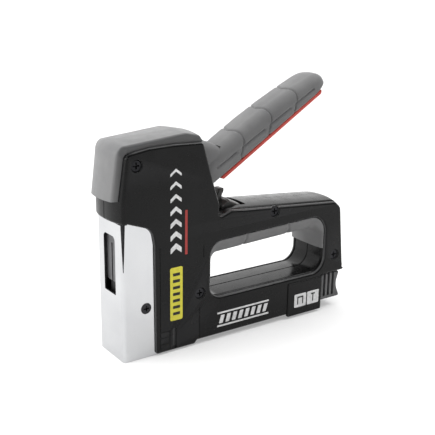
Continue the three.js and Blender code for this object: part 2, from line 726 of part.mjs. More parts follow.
function leverReturnSpring() {
  const coil = wireAlong(new Helix(9, 2, 2.4), 0.5, 40, 5);
  coil.rotateX(-Math.PI / 2);
  coil.translate(PIVOT_X, LEVER_HALF_WIDTH - 3.2, PIVOT_Z);
  return solid(coil);
}

// ---------------------------------------------------------------- storage lock
function lockLatch() {
  const hook = across([
    [LATCH_X - 3, LATCH_Z - 3.4, 1.5],
    [LATCH_X + 4, LATCH_Z - 3.4],
    [LATCH_X + 3, LATCH_Z + 6],
    [LATCH_X + 3.2, LATCH_Z + 12],
    [LATCH_X + 4.6, LATCH_Z + 14.6],
    [LATCH_X + 4.8, LATCH_Z + 16.8, 0.8],
    [LATCH_X + 1.2, LATCH_Z + 16.8, 1.5],
    [LATCH_X - 1.2, LATCH_Z + 12],
    [LATCH_X - 3, LATCH_Z + 4],
  ], 3.3);
  const thumb = across([
    [LATCH_X, LATCH_Z - 3.2, 1],
    [LATCH_X + 21, LATCH_Z - 1.4, 1],
    [LATCH_X + 21, LATCH_Z + 1.6, 1],
    [LATCH_X + 13, LATCH_Z + 5.4, 3],
    [LATCH_X + 7, LATCH_Z + 6.6, 2],
    [LATCH_X + 4, LATCH_Z + 4, 1],
    [LATCH_X, LATCH_Z + 2.4],
  ], WELL_HALF - 0.8);
  return hook.add(thumb).subtract(post(LATCH_X, LATCH_Z, LATCH_PIN_RADIUS + GAP, -PAST, PAST, 12));
}

// ---------------------------------------------------------------- bumper and loop grip
function headBumper() {
  const inner = [
    [NECK_TOP[0], NECK_TOP[1] + GAP],
    [36.3, HEAD_HEIGHT - 0.1 + GAP, 2],
    [19.1, HEAD_HEIGHT - 0.7 + GAP, 2],
    [6.4, HEAD_HEIGHT - 2.6 + GAP, 1],
    [1.6, HEAD_HEIGHT - 3.1, 3],
    [-3.1, CASING_LIP + 14.1],
  ];
  const outer = [
    [-6.6, CASING_LIP + 14.1, 1],
    [BUMPER_FRONT, CASING_LIP + 18.5],
    [-4.4, HEAD_HEIGHT - 10, 8],
    [-1.4, HEAD_HEIGHT + 5.4, 5],
    [22, HEAD_HEIGHT + 6.8, 6],
    [46, HEAD_HEIGHT + 7.1, 8],
    [PIVOT_X + 2.6, HEAD_HEIGHT - 0.2, 1],
  ];
  return across([...inner, ...outer], HALF_WIDTH + PAD_RAISE - 0.3);
}

function loopGrip() {
  const outer = across([
    [LOOP_FRONT + GAP, LOOP_FLOOR - 20],
    [LOOP_FRONT + GAP, LOOP_ROOF - 1.5 - GAP, 10],
    [LOOP_REAR - GAP, LOOP_ROOF + 2.2 - GAP, 12],
    [LOOP_REAR - GAP, LOOP_FLOOR - 20],
  ], HALF_WIDTH - 1);
  const thin = 1.3;
  const inner = across([
    [LOOP_FRONT + thin, LOOP_FLOOR - 30],
    [LOOP_FRONT + thin, LOOP_ROOF - GRIP_DEPTH - 1, 5],
    [LOOP_REAR - thin - 0.8, LOOP_ROOF - GRIP_DEPTH + 2, 9],
    [LOOP_REAR - thin - 0.8, LOOP_FLOOR - 30],
  ], 40);
  const keep = across([
    [LOOP_FRONT - 5, LOOP_FLOOR + 10],
    [LOOP_FRONT + 30, LOOP_FLOOR + 10],
    [LOOP_REAR - 4, LOOP_FLOOR + 19],
    [LOOP_REAR + 5, LOOP_FLOOR + 15.5],
    [LOOP_REAR + 5, HEAD_HEIGHT],
    [LOOP_FRONT - 5, HEAD_HEIGHT],
  ], 40);
  return outer.subtract(inner).intersect(keep);
}

// ---------------------------------------------------------------- magazine
function saddle(x0, x1, outerHalf, innerHalf, bottom, innerTop, top) {
  const cover = box(x0, x1, -outerHalf, outerHalf, bottom, top);
  return cover.subtract(box(x0 - 1, x1 + 1, -innerHalf, innerHalf, bottom - 1, innerTop));
}

const ROD_Z = (RAIL_BOTTOM + RAIL_TOP) / 2;
const ROD_RADIUS = 1.1;
const RAIL_SHEET = 0.8;
const RAIL_INNER = RAIL_HALF - RAIL_SHEET;
const PUSHER_LENGTH = 13;
const PUSHER_FRONT = STRIP_REAR + GAP;
const PUSHER_REAR = PUSHER_FRONT + PUSHER_LENGTH;
const TONGUE_LENGTH = 12;
const TONGUE_HALF = RAIL_INNER - GAP;
const TONGUE_FRONT = PULL_FRONT - TONGUE_LENGTH;

function stapleRail() {
  const rail = box(CORE_FRONT + GAP, PULL_FRONT - GAP, -RAIL_HALF, RAIL_HALF, RAIL_BOTTOM, RAIL_TOP);
  const floor = RAIL_BOTTOM + RAIL_SHEET;
  return rail.subtract(box(CORE_FRONT - 5, PULL_FRONT + 5, -RAIL_INNER, RAIL_INNER, floor, RAIL_TOP + 1));
}

function pusher() {
  const legs = saddle(PUSHER_FRONT, PUSHER_REAR, STAPLE_CROWN / 2 - 0.1, RAIL_HALF + GAP,
    RAIL_BOTTOM + 1, RAIL_TOP + GAP, STRIP_TOP);
  const floor = RAIL_BOTTOM + RAIL_SHEET + GAP;
  const tongue = box(PUSHER_FRONT, PUSHER_REAR, -TONGUE_HALF, TONGUE_HALF, floor, STRIP_TOP - 0.2);
  return legs.add(tongue).subtract(barX(PUSHER_FRONT - 1, PUSHER_REAR + 1, ROD_RADIUS + GAP, ROD_Z));
}

function pusherSpring() {
  const wire = 0.3;
  const radius = ROD_RADIUS + GAP + wire + 0.1;
  const start = PUSHER_REAR + GAP + wire;
  const end = TONGUE_FRONT - GAP - wire;
  const turns = 20;
  const coil = wireAlong(new Helix(radius, turns, end - start), wire, turns * 9, 5);
  coil.rotateY(Math.PI / 2);
  coil.translate(start, 0, ROD_Z);
  return solid(coil);
}

function magazinePull() {
  const rear = PULL_FRONT + PULL_LENGTH;
  const height = PULL_TOP - PULL_BOTTOM;
  let pull = across([
    [PULL_FRONT, PULL_BOTTOM, 1],
    [PULL_FRONT, PULL_TOP, 1],
    [rear - 1.4, PULL_TOP, 1],
    [rear - 5.4, PULL_BOTTOM + height * 0.5, 6],
    [rear, PULL_BOTTOM + 1.2, 1],
    [rear - 1, PULL_BOTTOM, 0.5],
  ], PULL_HALF_WIDTH);
  const grooveFloor = PULL_HALF_WIDTH - 0.9;
  for (let i = 0; i < 3; i += 1) {
    const x = PULL_FRONT + 2.6 + i * 4.2;
    const groove = box(x, x + 1.9, grooveFloor, PULL_HALF_WIDTH + 5, PULL_BOTTOM + 2.6, PULL_TOP - 1.6);
    pull = pull.subtract(groove).subtract(groove.mirror([0, 1, 0]));
  }
  const tongue = (x0, x1, bottom) => box(x0, x1, -TONGUE_HALF, TONGUE_HALF, bottom, RAIL_TOP - 0.5);
  pull = pull.add(tongue(TONGUE_FRONT, PULL_FRONT, ROD_Z - 3));
  pull = pull.add(tongue(PULL_FRONT - 1, PULL_FRONT + 1, PULL_BOTTOM + 0.5));
  pull = pull.subtract(barX(TONGUE_FRONT - 1, PULL_FRONT + 6, ROD_RADIUS + GAP, ROD_Z));
  return pull.subtract(box(PULL_FRONT - 1, PULL_FRONT + 4, -4.1, 4.1, ROOF_TOP + 1.2, ROOF_TOP + 2.8));
}

function magazineCatch() {
  const leaf = box(REAR_WALL_X - 12, PULL_FRONT + 3.6, -3.8, 3.8, ROOF_TOP + 1.5, ROOF_TOP + 2.5);
  return leaf.add(across([
    [REAR_WALL_X - 11, ROOF_TOP + 2],
    [REAR_WALL_X - 6, ROOF_TOP + 2],
    [REAR_WALL_X - 6.6, ROOF_TOP + 4.6, 0.4],
    [REAR_WALL_X - 8, ROOF_TOP + 4.6, 0.4],
  ], 3.8));
}

// ---------------------------------------------------------------- assembly
add('left_housing', housing(-1), 'casing');
add('right_housing', housing(1), 'casing');
SCREW_PLACES.forEach((place, i) => add(`housing_screw_${i + 1}`, housingScrew(place), 'black_steel'));
add('head_bumper', headBumper(), 'rubber');
add('loop_grip', loopGrip(), 'rubber');

add('nose_plate', nosePlate(), 'chrome');
add('nose_core', noseCore(), 'casing');
add('guide_plate', guidePlate(), 'steel');
add('nose_screw_left', noseScrew(-1), 'black_steel');
add('nose_screw_right', noseScrew(1), 'black_steel');

add('hammer', hammer(), 'steel');
add('driver_blade', driverBlade(), 'steel');
add('blade_pin', barX(BLADE_FRONT, HAMMER_BACK + 3.2, BLADE_PIN_RADIUS, BLADE_PIN_Z), 'steel');
add('main_spring', mainSpring(), 'steel');
add('spring_seat', springSeat(), 'steel');
add('impact_bumper', impactBumper(), 'damper');

add('lever_arm', leverArm(), 'black_steel', lever);
add('lever_body', leverBody(), 'rubber', lever);
add('lever_grip', leverGrip(), 'rubber', lever);
add('lever_insert', leverInsert(), 'accent', lever);
add('lever_cross_pin', leverCrossPin(), 'steel', lever);
add('lever_pin', post(PIVOT_X, PIVOT_Z, PIN_RADIUS, -INNER_HALF - 1, INNER_HALF + 1), 'steel');
add('lever_return_spring', leverReturnSpring(), 'steel');

add('lock_latch', lockLatch(), 'casing');
add('latch_pin', post(LATCH_X, LATCH_Z, LATCH_PIN_RADIUS, -13, 13, 12), 'steel');

add('magazine_channel', saddle(CORE_FRONT, REAR_WALL_X - 0.8, CHANNEL_HALF, CHANNEL_INNER, RAIL_BOTTOM - 0.7,
  STRIP_TOP + GAP, CHANNEL_TOP), 'steel');
add('staple_rail', stapleRail(), 'steel');
add('staple_strip', saddle(STRIP_FRONT, STRIP_REAR, STAPLE_CROWN / 2, RAIL_HALF + GAP, RAIL_BOTTOM + 0.8,
  RAIL_TOP + GAP, STRIP_TOP), 'staple');
add('pusher', pusher(), 'black_steel');
add('pusher_rod', barX(CORE_FRONT + 1, PULL_FRONT + 5.5, ROD_RADIUS, ROD_Z), 'steel');
add('pusher_spring', pusherSpring(), 'steel');
add('magazine_pull', magazinePull(), 'rubber');
add('magazine_catch', magazineCatch(), 'steel');

export default root;
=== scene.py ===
# Hand staple gun: the looks of every visible piece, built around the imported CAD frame.
# Outlines are in millimetres in the side view: x back from the nose front, z up from the foot, y across.
import math

import bmesh
import bpy
from mathutils import Matrix, Vector
from mathutils.geometry import tessellate_polygon


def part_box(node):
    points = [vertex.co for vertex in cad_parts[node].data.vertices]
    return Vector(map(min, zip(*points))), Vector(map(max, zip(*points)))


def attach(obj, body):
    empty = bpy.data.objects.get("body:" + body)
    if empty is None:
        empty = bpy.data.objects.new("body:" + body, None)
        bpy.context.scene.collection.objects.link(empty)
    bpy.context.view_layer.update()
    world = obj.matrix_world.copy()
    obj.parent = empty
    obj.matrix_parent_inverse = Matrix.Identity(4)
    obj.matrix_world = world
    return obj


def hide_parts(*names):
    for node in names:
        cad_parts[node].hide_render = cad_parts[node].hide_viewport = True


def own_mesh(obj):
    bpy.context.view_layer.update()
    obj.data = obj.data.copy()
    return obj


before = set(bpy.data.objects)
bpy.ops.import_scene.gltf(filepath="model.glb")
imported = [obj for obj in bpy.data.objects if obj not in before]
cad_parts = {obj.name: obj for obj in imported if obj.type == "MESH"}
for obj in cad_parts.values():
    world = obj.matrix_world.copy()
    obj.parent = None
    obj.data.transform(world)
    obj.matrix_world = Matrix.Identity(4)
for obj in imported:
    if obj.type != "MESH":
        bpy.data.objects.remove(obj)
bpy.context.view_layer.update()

# ---------------------------------------------------------------- places taken from the frame
MM = 0.001
NOSE_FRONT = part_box("nose_plate")[0].x


def reading(node):
    """A CAD node's box in millimetres, measured from the nose front."""
    low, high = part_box(node)
    shift = Vector((NOSE_FRONT, 0, 0))
    return (low - shift) / MM, (high - shift) / MM


def middle(node):
    """The side-view centre of a CAD node, as (x, z) in millimetres."""
    low, high = reading(node)
    return (low.x + high.x) / 2, (low.z + high.z) / 2


SHELL_LOW, SHELL_HIGH = reading("left_housing")
GRIP_LOW, GRIP_HIGH = reading("loop_grip")
NOSE_HIGH = reading("nose_plate")[1]
PULL_LOW, PULL_HIGH = reading("magazine_pull")
BUMPER_LOW, BUMPER_HIGH = reading("head_bumper")

GAP = 0.3
SEAM = GAP / 2
BODY_LENGTH = SHELL_HIGH.x
PAD_RAISE = 0.8
HALF_WIDTH = -SHELL_LOW.y - PAD_RAISE
WALL = 2.4
INNER_HALF = HALF_WIDTH - WALL
HEAD_TOP = BUMPER_HIGH.z - 7
NOSE_HALF = NOSE_HIGH.y
NOSE_DEPTH = 22.4
NOSE_EAR = NOSE_HIGH.x - NOSE_DEPTH
NOSE_SHEET = 1.5
LIP = BUMPER_LOW.z - 14.1
FOOT = 3.3
PIVOT = middle("lever_pin")
LATCH = middle("latch_pin")
LOOP_FRONT = GRIP_LOW.x - GAP
LOOP_REAR = GRIP_HIGH.x + GAP
LOOP_FLOOR = 30.8
LOOP_ROOF = 70
HANDLE_TOP = 89
HANDLE_FALL = 7
HANDLE_CROWN = 2.2
NECK = 70.8
PULL_FRONT = PULL_HIGH.x - 19.2
REAR_WALL = PULL_FRONT - 1.6
SLOT_HALF = 6.9
SLOT_TOP = 14.7
ROOF_TOP = SLOT_TOP + WALL
FRONT_BOW = 3.4
FRONT_BOW_POWER = 2.5
FRONT_BOW_REACH = 13
FRONT_WALL = 1.4
EDGE = 1.6
LEVER_ANGLE = math.radians(30)
LEVER_HALF = 13
HUB = 26
HUB_HALF = 11.4
HUB_EDGE = 6.8
LEVER_END = 118
HOUSING_SCREWS = [middle(f"housing_screw_{i}") for i in range(1, 5)]
SCREW_HEAD = 3.7
NOSE_SCREW = middle("nose_screw_left")
NOSE_SCREW_HEAD = 3.4


# ---------------------------------------------------------------- mesh making
def place(x, y, z):
    return Vector((NOSE_FRONT + x * MM, y * MM, z * MM))


def make(name, points, faces):
    """A closed, smooth-shaded mesh object from millimetre points."""
    mesh = bpy.data.meshes.new(name)
    mesh.from_pydata([place(*p) for p in points], [], faces)
    shape = bmesh.new()
    shape.from_mesh(mesh)
    bmesh.ops.remove_doubles(shape, verts=shape.verts, dist=1e-7)
    bmesh.ops.recalc_face_normals(shape, faces=shape.faces)
    shape.to_mesh(mesh)
    shape.free()
    piece = bpy.data.objects.new(name, mesh)
    bpy.context.scene.collection.objects.link(piece)
    return piece


def corner_arc(before, here, after, radius, steps):
    """The arc that rounds one corner of an outline."""
    a = (before - here).normalized()
    b = (after - here).normalized()
    angle = a.angle(b)
    limit = 0.49 * min((before - here).length, (after - here).length)
    reach = min(radius / math.tan(angle / 2), limit)
    radius = reach * math.tan(angle / 2)
    centre = here + (a + b).normalized() * radius / math.sin(angle / 2)
    start = here + a * reach - centre
    turn = math.pi - angle
    if start.x * (here + b * reach - centre).y < start.y * (here + b * reach - centre).x:
        turn = -turn
    return [centre + Matrix.Rotation(turn * k / steps, 2) @ start for k in range(steps + 1)]


def outline(points, steps=8):
    """A closed side-view outline of (x, z) or (x, z, corner radius) points, its round corners as arcs."""
    path = []
    count = len(points)
    for i, point in enumerate(points):
        here = Vector(point[:2])
        if len(point) < 3:
            path.append(here)
            continue
        before = Vector(points[i - 1][:2])
        after = Vector(points[(i + 1) % count][:2])
        path += corner_arc(before, here, after, point[2], steps)
    return path


def panel(x0, x1, z0, z1, radius):
    """An upright rectangle with round corners."""
    return outline([(x0, z0, radius), (x1, z0, radius), (x1, z1, radius), (x0, z1, radius)])


def circle(x, z, radius, sides=40):
    turns = [2 * math.pi * i / sides for i in range(sides)]
    return [Vector((x + radius * math.cos(turn), z + radius * math.sin(turn))) for turn in turns]


def turned(loop, filled):
    """The loop with the material on its left: anticlockwise round material, clockwise round a hole."""
    area = sum(a.x * b.y - b.x * a.y for a, b in zip(loop, loop[1:] + loop[:1]))
    return loop if (area > 0) == filled else loop[::-1]


def inward(loop):
    """For each point, the step that moves both its edges 1 mm into the material."""
    steps = []
    for i, here in enumerate(loop):
        into = (here - loop[i - 1]).normalized()
        out = (loop[(i + 1) % len(loop)] - here).normalized()
        first = Vector((-into.y, into.x))
        mean = (first + Vector((-out.y, out.x))).normalized()
        steps.append(mean / max(mean.dot(first), 0.4))
    return steps


def edged(y0, y1, r0=0.0, r1=0.0, between=(), steps=5):
    """Stations (y, depth) across a slab whose two edges are rounded."""
    def quarter(radius):
        if not radius:
            return [(0, 0)]
        angles = [math.pi / 2 * k / steps for k in range(steps + 1)]
        return [(radius * (1 - math.cos(a)), radius * (1 - math.sin(a))) for a in angles]
    near = [(y0 + y, depth) for y, depth in quarter(r0)]
    far = [(y1 - y, depth) for y, depth in reversed(quarter(r1))]
    inner = [(y, 0) for y in sorted(between) if y0 + r0 + 0.05 < y < y1 - r1 - 0.05]
    return near + inner + far


def slab(name, outer, stations, holes=(), relief=None, upright=False):
    """An outline carried through its stations, with any holes; relief(spot, step, y) sinks its rim further.

    An upright slab has its outline in plan and its stations in height.
    """
    loops = [turned(list(outer), True)] + [turned(list(hole), False) for hole in holes]
    points, faces, starts = [], [], []
    for loop in loops:
        starts.append(len(points))
        steps = inward(loop)
        for y, depth in stations:
            for spot, step in zip(loop, steps):
                at = spot + step * (depth + (relief(spot, step, y) if relief else 0))
                points.append((at.x, at.y, y) if upright else (at.x, y, at.y))
        count = len(loop)
        for row in range(len(stations) - 1):
            base = starts[-1] + row * count
            for i in range(count):
                j = (i + 1) % count
                faces.append((base + i, base + j, base + count + j, base + count + i))
    for row in (0, len(stations) - 1):
        rings = [[start + row * len(loop) + i for i in range(len(loop))]
                 for start, loop in zip(starts, loops)]
        flat = [[Vector((points[i][0], points[i][1 if upright else 2], 0)) for i in ring] for ring in rings]
        index = [i for ring in rings for i in ring]
        faces += [tuple(index[i] for i in triangle) for triangle in tessellate_polygon(flat)]
    return make(name, points, faces)


def prism(points, y0, y1):
    return slab("cutter", [Vector(p) for p in points], [(y0, 0), (y1, 0)])


def block(x0, x1, y0, y1, z0, z1):
    return prism([(x0, z0), (x1, z0), (x1, z1), (x0, z1)], y0, y1)


def rod(x, z, radius, y0, y1, sides=40):
    return slab("cutter", circle(x, z, radius, sides), [(y0, 0), (y1, 0)])


def bake(piece):
    """Applies the piece's modifiers to its mesh."""
    graph = bpy.context.evaluated_depsgraph_get()
    old = piece.data
    mesh = bpy.data.meshes.new_from_object(piece.evaluated_get(graph))
    piece.modifiers.clear()
    piece.data = mesh
    mesh.name = piece.name
    bpy.data.meshes.remove(old)


def carve(piece, tools, operation="DIFFERENCE"):
    """Cuts the tools out of the piece, or joins them to it, and deletes them."""
    for tool in tools:
        step = piece.modifiers.new("carve", "BOOLEAN")
        step.object = tool
        step.operation = operation
        step.solver = "MANIFOLD"
        bake(piece)
        bpy.data.objects.remove(tool)
    return piece


def grid(name, rows):
    """A closed skin over rows of points: each row is a closed ring, and the end rows are capped."""
    count = len(rows[0])
    points = [p for row in rows for p in row]
    faces = []
    for r in range(len(rows) - 1):
        for i in range(count):
            j = (i + 1) % count
            a, b = r * count + i, r * count + j
            faces.append((a, b, b + count, a + count))
    faces.append(tuple(range(count)))
    faces.append(tuple((len(rows) - 1) * count + i for i in range(count)))
    return make(name, points, faces)


def strand(points, bend=10, run=14):
    """An open path with rounded corners, sampled alike for any path with as many corners."""
    corners = [Vector(p[:2]) for p in points]
    pieces = [[corners[0]]]
    for i in range(1, len(points) - 1):
        pieces.append(corner_arc(corners[i - 1], corners[i], corners[i + 1], points[i][2], bend))
    pieces.append([corners[-1]])
    path = []
    for first, second in zip(pieces, pieces[1:]):
        path += first
        path += [first[-1].lerp(second[0], k / run) for k in range(1, run)]
    return path + pieces[-1]


# ---------------------------------------------------------------- materials
class Paint:
    """A node material whose colour, roughness and relief come from noise and place on the object."""

    def __init__(self, name):
        self.made = bpy.data.materials.new(name)
        self.made.use_nodes = True
        self.nodes = self.made.node_tree.nodes
        self.links = self.made.node_tree.links
        self.shader = self.nodes["Principled BSDF"]
        self.place = self.nodes.new("ShaderNodeTexCoord").outputs["Object"]
        self.relief = None

    def settle(self, **values):
        for name, value in values.items():
            self.shader.inputs[name.replace("_", " ")].default_value = value
        return self

    def stretched(self, scale):
        mapping = self.nodes.new("ShaderNodeMapping")
        mapping.inputs["Scale"].default_value = scale
        self.links.new(self.place, mapping.inputs["Vector"])
        return mapping.outputs["Vector"]

    def noise(self, scale, detail=3.0, stretch=None):
        texture = self.nodes.new("ShaderNodeTexNoise")
        texture.inputs["Scale"].default_value = scale
        texture.inputs["Detail"].default_value = detail
        self.links.new(self.stretched(stretch) if stretch else self.place, texture.inputs["Vector"])
        return texture.outputs["Fac"]

    def cells(self, scale):
        texture = self.nodes.new("ShaderNodeTexVoronoi")
        texture.inputs["Scale"].default_value = scale
        self.links.new(self.place, texture.inputs["Vector"])
        return texture.outputs["Distance"]

    def edges(self):
        return self.nodes.new("ShaderNodeNewGeometry").outputs["Pointiness"]

    def spread(self, source, low, high, start=0.35, end=0.65):
        """The source's range from start to end, mapped to low to high."""
        node = self.nodes.new("ShaderNodeMapRange")
        node.inputs["From Min"].default_value = start
        node.inputs["From Max"].default_value = end
        node.inputs["To Min"].default_value = low
        node.inputs["To Max"].default_value = high
        self.links.new(source, node.inputs["Value"])
        return node.outputs["Result"]

    def ramp(self, source, stops):
        node = self.nodes.new("ShaderNodeValToRGB")
        while len(node.color_ramp.elements) < len(stops):
            node.color_ramp.elements.new(0.5)
        for element, (at, colour) in zip(node.color_ramp.elements, stops):
            element.position = at
            element.color = (*colour, 1)
        self.links.new(source, node.inputs["Fac"])
        return node.outputs["Color"]

    def toned(self, colour, tone, factor):
        """The colour, turned to the tone where the factor is high."""
        node = self.nodes.new("ShaderNodeMix")
        node.data_type = "RGBA"
        for socket in node.inputs:
            if socket.type == "RGBA" and socket.name == "B":
                socket.default_value = (*tone, 1)
            if socket.type == "RGBA" and socket.name == "A":
                self.links.new(colour, socket)
        self.links.new(factor, node.inputs["Factor"])
        return [out for out in node.outputs if out.type == "RGBA"][0]

    def worn(self, colour, edge_colour, start=0.52, end=0.6):
        """The colour, with its sharp edges turned to the edge colour."""
        return self.toned(colour, edge_colour, self.spread(self.edges(), 0, 1, start, end))

    def rims(self, colour, tone, stops, front=-10):
        """The colour, turned to the tone in a band beside both sides of the tool, behind the front."""
        split = self.nodes.new("ShaderNodeSeparateXYZ")
        self.links.new(self.place, split.inputs["Vector"])
        across = self.nodes.new("ShaderNodeMath")
        across.operation = "ABSOLUTE"
        self.links.new(split.outputs["Y"], across.inputs[0])
        part = self.spread(across.outputs["Value"], 0, 1, 0, HALF_WIDTH * MM)
        band = self.ramp(part, [(at, (level, level, level)) for at, level in stops])
        behind = self.spread(split.outputs["X"], 0, 1, NOSE_FRONT + front * MM, NOSE_FRONT + (front + 4) * MM)
        both = self.nodes.new("ShaderNodeMath")
        both.operation = "MULTIPLY"
        self.links.new(band, both.inputs[0])
        self.links.new(behind, both.inputs[1])
        return self.toned(colour, tone, both.outputs["Value"])

    def paint(self, socket, source):
        self.links.new(source, self.shader.inputs[socket])
        return self

    def bump(self, source, strength, distance):
        node = self.nodes.new("ShaderNodeBump")
        node.inputs["Strength"].default_value = strength
        node.inputs["Distance"].default_value = distance
        self.links.new(source, node.inputs["Height"])
        if self.relief:
            self.links.new(self.relief, node.inputs["Normal"])
        self.relief = node.outputs["Normal"]
        self.links.new(self.relief, self.shader.inputs["Normal"])
        return self


# Across the tool, as a share of its half width: a lighter band on the casing's rounded rims, a painted
# highlight.
RIM_HIGHLIGHT_STOPS = [(0.86, 0), (0.9, 1), (0.955, 1), (0.985, 0)]
# Across the tool: the bumper's flanks darker, a painted shade.
SHADED_FLANK_STOPS = [(0.76, 0), (0.81, 1)]


def plastic(name, dark, light, edge, rough, grain=2600, grain_depth=0.00003, specular=0.3, rim=None):
    """Moulded plastic: a fine spark-eroded grain, cloudy gloss and edges polished by handling. Given a rim
    tone, a band along the rims beside both sides is painted lighter, a painted highlight.
    """
    paint = Paint(name).settle(Specular_IOR_Level=specular)
    mottle = paint.noise(38, 4)
    colour = paint.worn(paint.ramp(mottle, [(0.3, dark), (0.7, light)]), edge)
    paint.paint("Base Color", paint.rims(colour, rim, RIM_HIGHLIGHT_STOPS, 5) if rim else colour)
    paint.paint("Roughness", paint.spread(paint.noise(120, 3), rough - 0.05, rough + 0.08))
    paint.bump(paint.noise(grain, 2), 0.2, grain_depth)
    return paint.bump(paint.noise(55, 2), 0.08, 0.0002).made


def rubber(name, dark, light, edge, rough, flank=None):
    """Soft over-moulded grip: matt, finely pebbled, a little lighter where it is rubbed. Given a flank tone,
    its flanks beside both sides are painted darker, a painted shade.
    """
    paint = Paint(name).settle(Specular_IOR_Level=0.35, Sheen_Weight=0.12, Sheen_Roughness=0.45)
    mottle = paint.noise(60, 5)
    colour = paint.worn(paint.ramp(mottle, [(0.25, dark), (0.75, light)]), edge, 0.53, 0.66)
    paint.paint("Base Color", paint.rims(colour, flank, SHADED_FLANK_STOPS) if flank else colour)
    paint.paint("Roughness", paint.spread(paint.noise(150, 3), rough - 0.06, rough + 0.08))
    paint.bump(paint.cells(1300), 0.45, 0.0001)
    return paint.bump(paint.noise(70, 2), 0.12, 0.0003).made


def metal(name, dark, light, rough, stretch, scratch=0.00001, polish=0.05):
    """Worked metal: brushed along one direction, with cloudy gloss and faint scratches."""
    paint = Paint(name).settle(Metallic=1)
    paint.paint("Base Color", paint.ramp(paint.noise(45, 4), [(0.3, dark), (0.7, light)]))
    brushed = paint.noise(900, 3, stretch)
    paint.paint("Roughness", paint.spread(brushed, rough - polish, rough + polish))
    return paint.bump(brushed, 0.25, scratch).made


def printed(name, colour, faded, rough=0.45):
    """Tampo-printed ink or foil label: slightly uneven cover over the grain."""
    paint = Paint(name).settle(Specular_IOR_Level=0.3)
    paint.paint("Base Color", paint.ramp(paint.noise(420, 4), [(0.3, faded), (0.6, colour)]))
    paint.paint("Roughness", paint.spread(paint.noise(300, 2), rough - 0.06, rough + 0.1))
    return paint.bump(paint.noise(2600, 2), 0.25, 0.00002).made


# The casing's rim tone is a painted highlight on its rounded rim beads.
CASING = plastic("black_nylon", (0.004, 0.004, 0.0041), (0.0065, 0.0065, 0.0066), (0.02, 0.02, 0.021), 0.22,
                 specular=0.16, rim=(0.075, 0.075, 0.076))
# The latch's nylon is the casing's black painted lighter all over, a painted highlight for its thumb mound.
LATCH_PLASTIC = plastic("latch_nylon", (0.03, 0.03, 0.029), (0.045, 0.045, 0.043), (0.09, 0.09, 0.09),
                        0.3, 1800)
PULL_PLASTIC = plastic("pull_nylon", (0.07, 0.07, 0.074), (0.1, 0.1, 0.104), (0.16, 0.16, 0.16), 0.42, 2200)
SOFT_GREY = rubber("grip_rubber", (0.13, 0.13, 0.132), (0.165, 0.165, 0.165), (0.25, 0.25, 0.25), 0.58)
# The bumper's flank tone is painted shade on its sides.
BUMPER_GREY = rubber("bumper_rubber", (0.14, 0.141, 0.143), (0.175, 0.175, 0.175), (0.22, 0.22, 0.22), 0.5,
                     flank=(0.085, 0.085, 0.086))
RED = plastic("red_nylon", (0.4, 0.028, 0.018), (0.5, 0.045, 0.03), (0.6, 0.1, 0.08), 0.4, 2200, 0.00003, 0.4)
CHROME = metal("chrome_plate", (0.54, 0.545, 0.556), (0.58, 0.585, 0.593), 0.12, (1, 1, 0.05), 0.000002, 0.03)
STEEL = metal("ground_steel", (0.3, 0.3, 0.31), (0.46, 0.46, 0.47), 0.36, (0.05, 1, 1), 0.00001, 0.1)
# Near-black steel; on the driver blade it is painted shade in the nose slit.
NEAR_BLACK_STEEL = metal("near_black_steel", (0.03, 0.03, 0.031), (0.06, 0.06, 0.062), 0.5, (1, 1, 1), 0.00002, 0.1)
DARK_STEEL = metal("cast_steel", (0.09, 0.09, 0.095), (0.16, 0.16, 0.165), 0.45, (1, 1, 1), 0.00003, 0.1)
SPRING_STEEL = metal("spring_steel", (0.3, 0.28, 0.25), (0.5, 0.48, 0.44), 0.28, (1, 1, 0.3), 0.000005, 0.06)
BLACK_STEEL = metal("black_oxide", (0.02, 0.02, 0.022), (0.045, 0.045, 0.048), 0.38, (1, 1, 1), 0.00002, 0.1)
STAPLE = metal("staple_wire", (0.5, 0.5, 0.5), (0.72, 0.72, 0.73), 0.25, (0.1, 12, 0.1), 0.00003, 0.08)
DAMPER = rubber("damper_rubber", (0.012, 0.012, 0.012), (0.02, 0.02, 0.02), (0.04, 0.04, 0.04), 0.75)
WHITE_INK = printed("white_ink", (0.78, 0.78, 0.78), (0.62, 0.62, 0.62))
RED_INK = printed("red_ink", (0.42, 0.045, 0.04), (0.34, 0.04, 0.035))
YELLOW_FOIL = printed("yellow_foil", (0.72, 0.66, 0.06), (0.64, 0.58, 0.05))
BLACK_INK = printed("black_ink", (0.01, 0.01, 0.01), (0.016, 0.016, 0.016))


def complete(piece, body, paint, slot, *nodes, smooth=32):
    """Finishes a piece: its shading, paint, body and the CAD nodes that it stands for; the slot is not used.
    """
    for polygon in piece.data.polygons:
        polygon.use_smooth = True
    piece.data.set_sharp_from_angle(angle=math.radians(smooth))
    if smooth:
        weighted = piece.modifiers.new("weighted", "WEIGHTED_NORMAL")
        weighted.keep_sharp = True
        weighted.weight = 80
    piece.data.materials.clear()
    piece.data.materials.append(paint)
    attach(piece, body)
    if nodes:
        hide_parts(*nodes)
    return piece


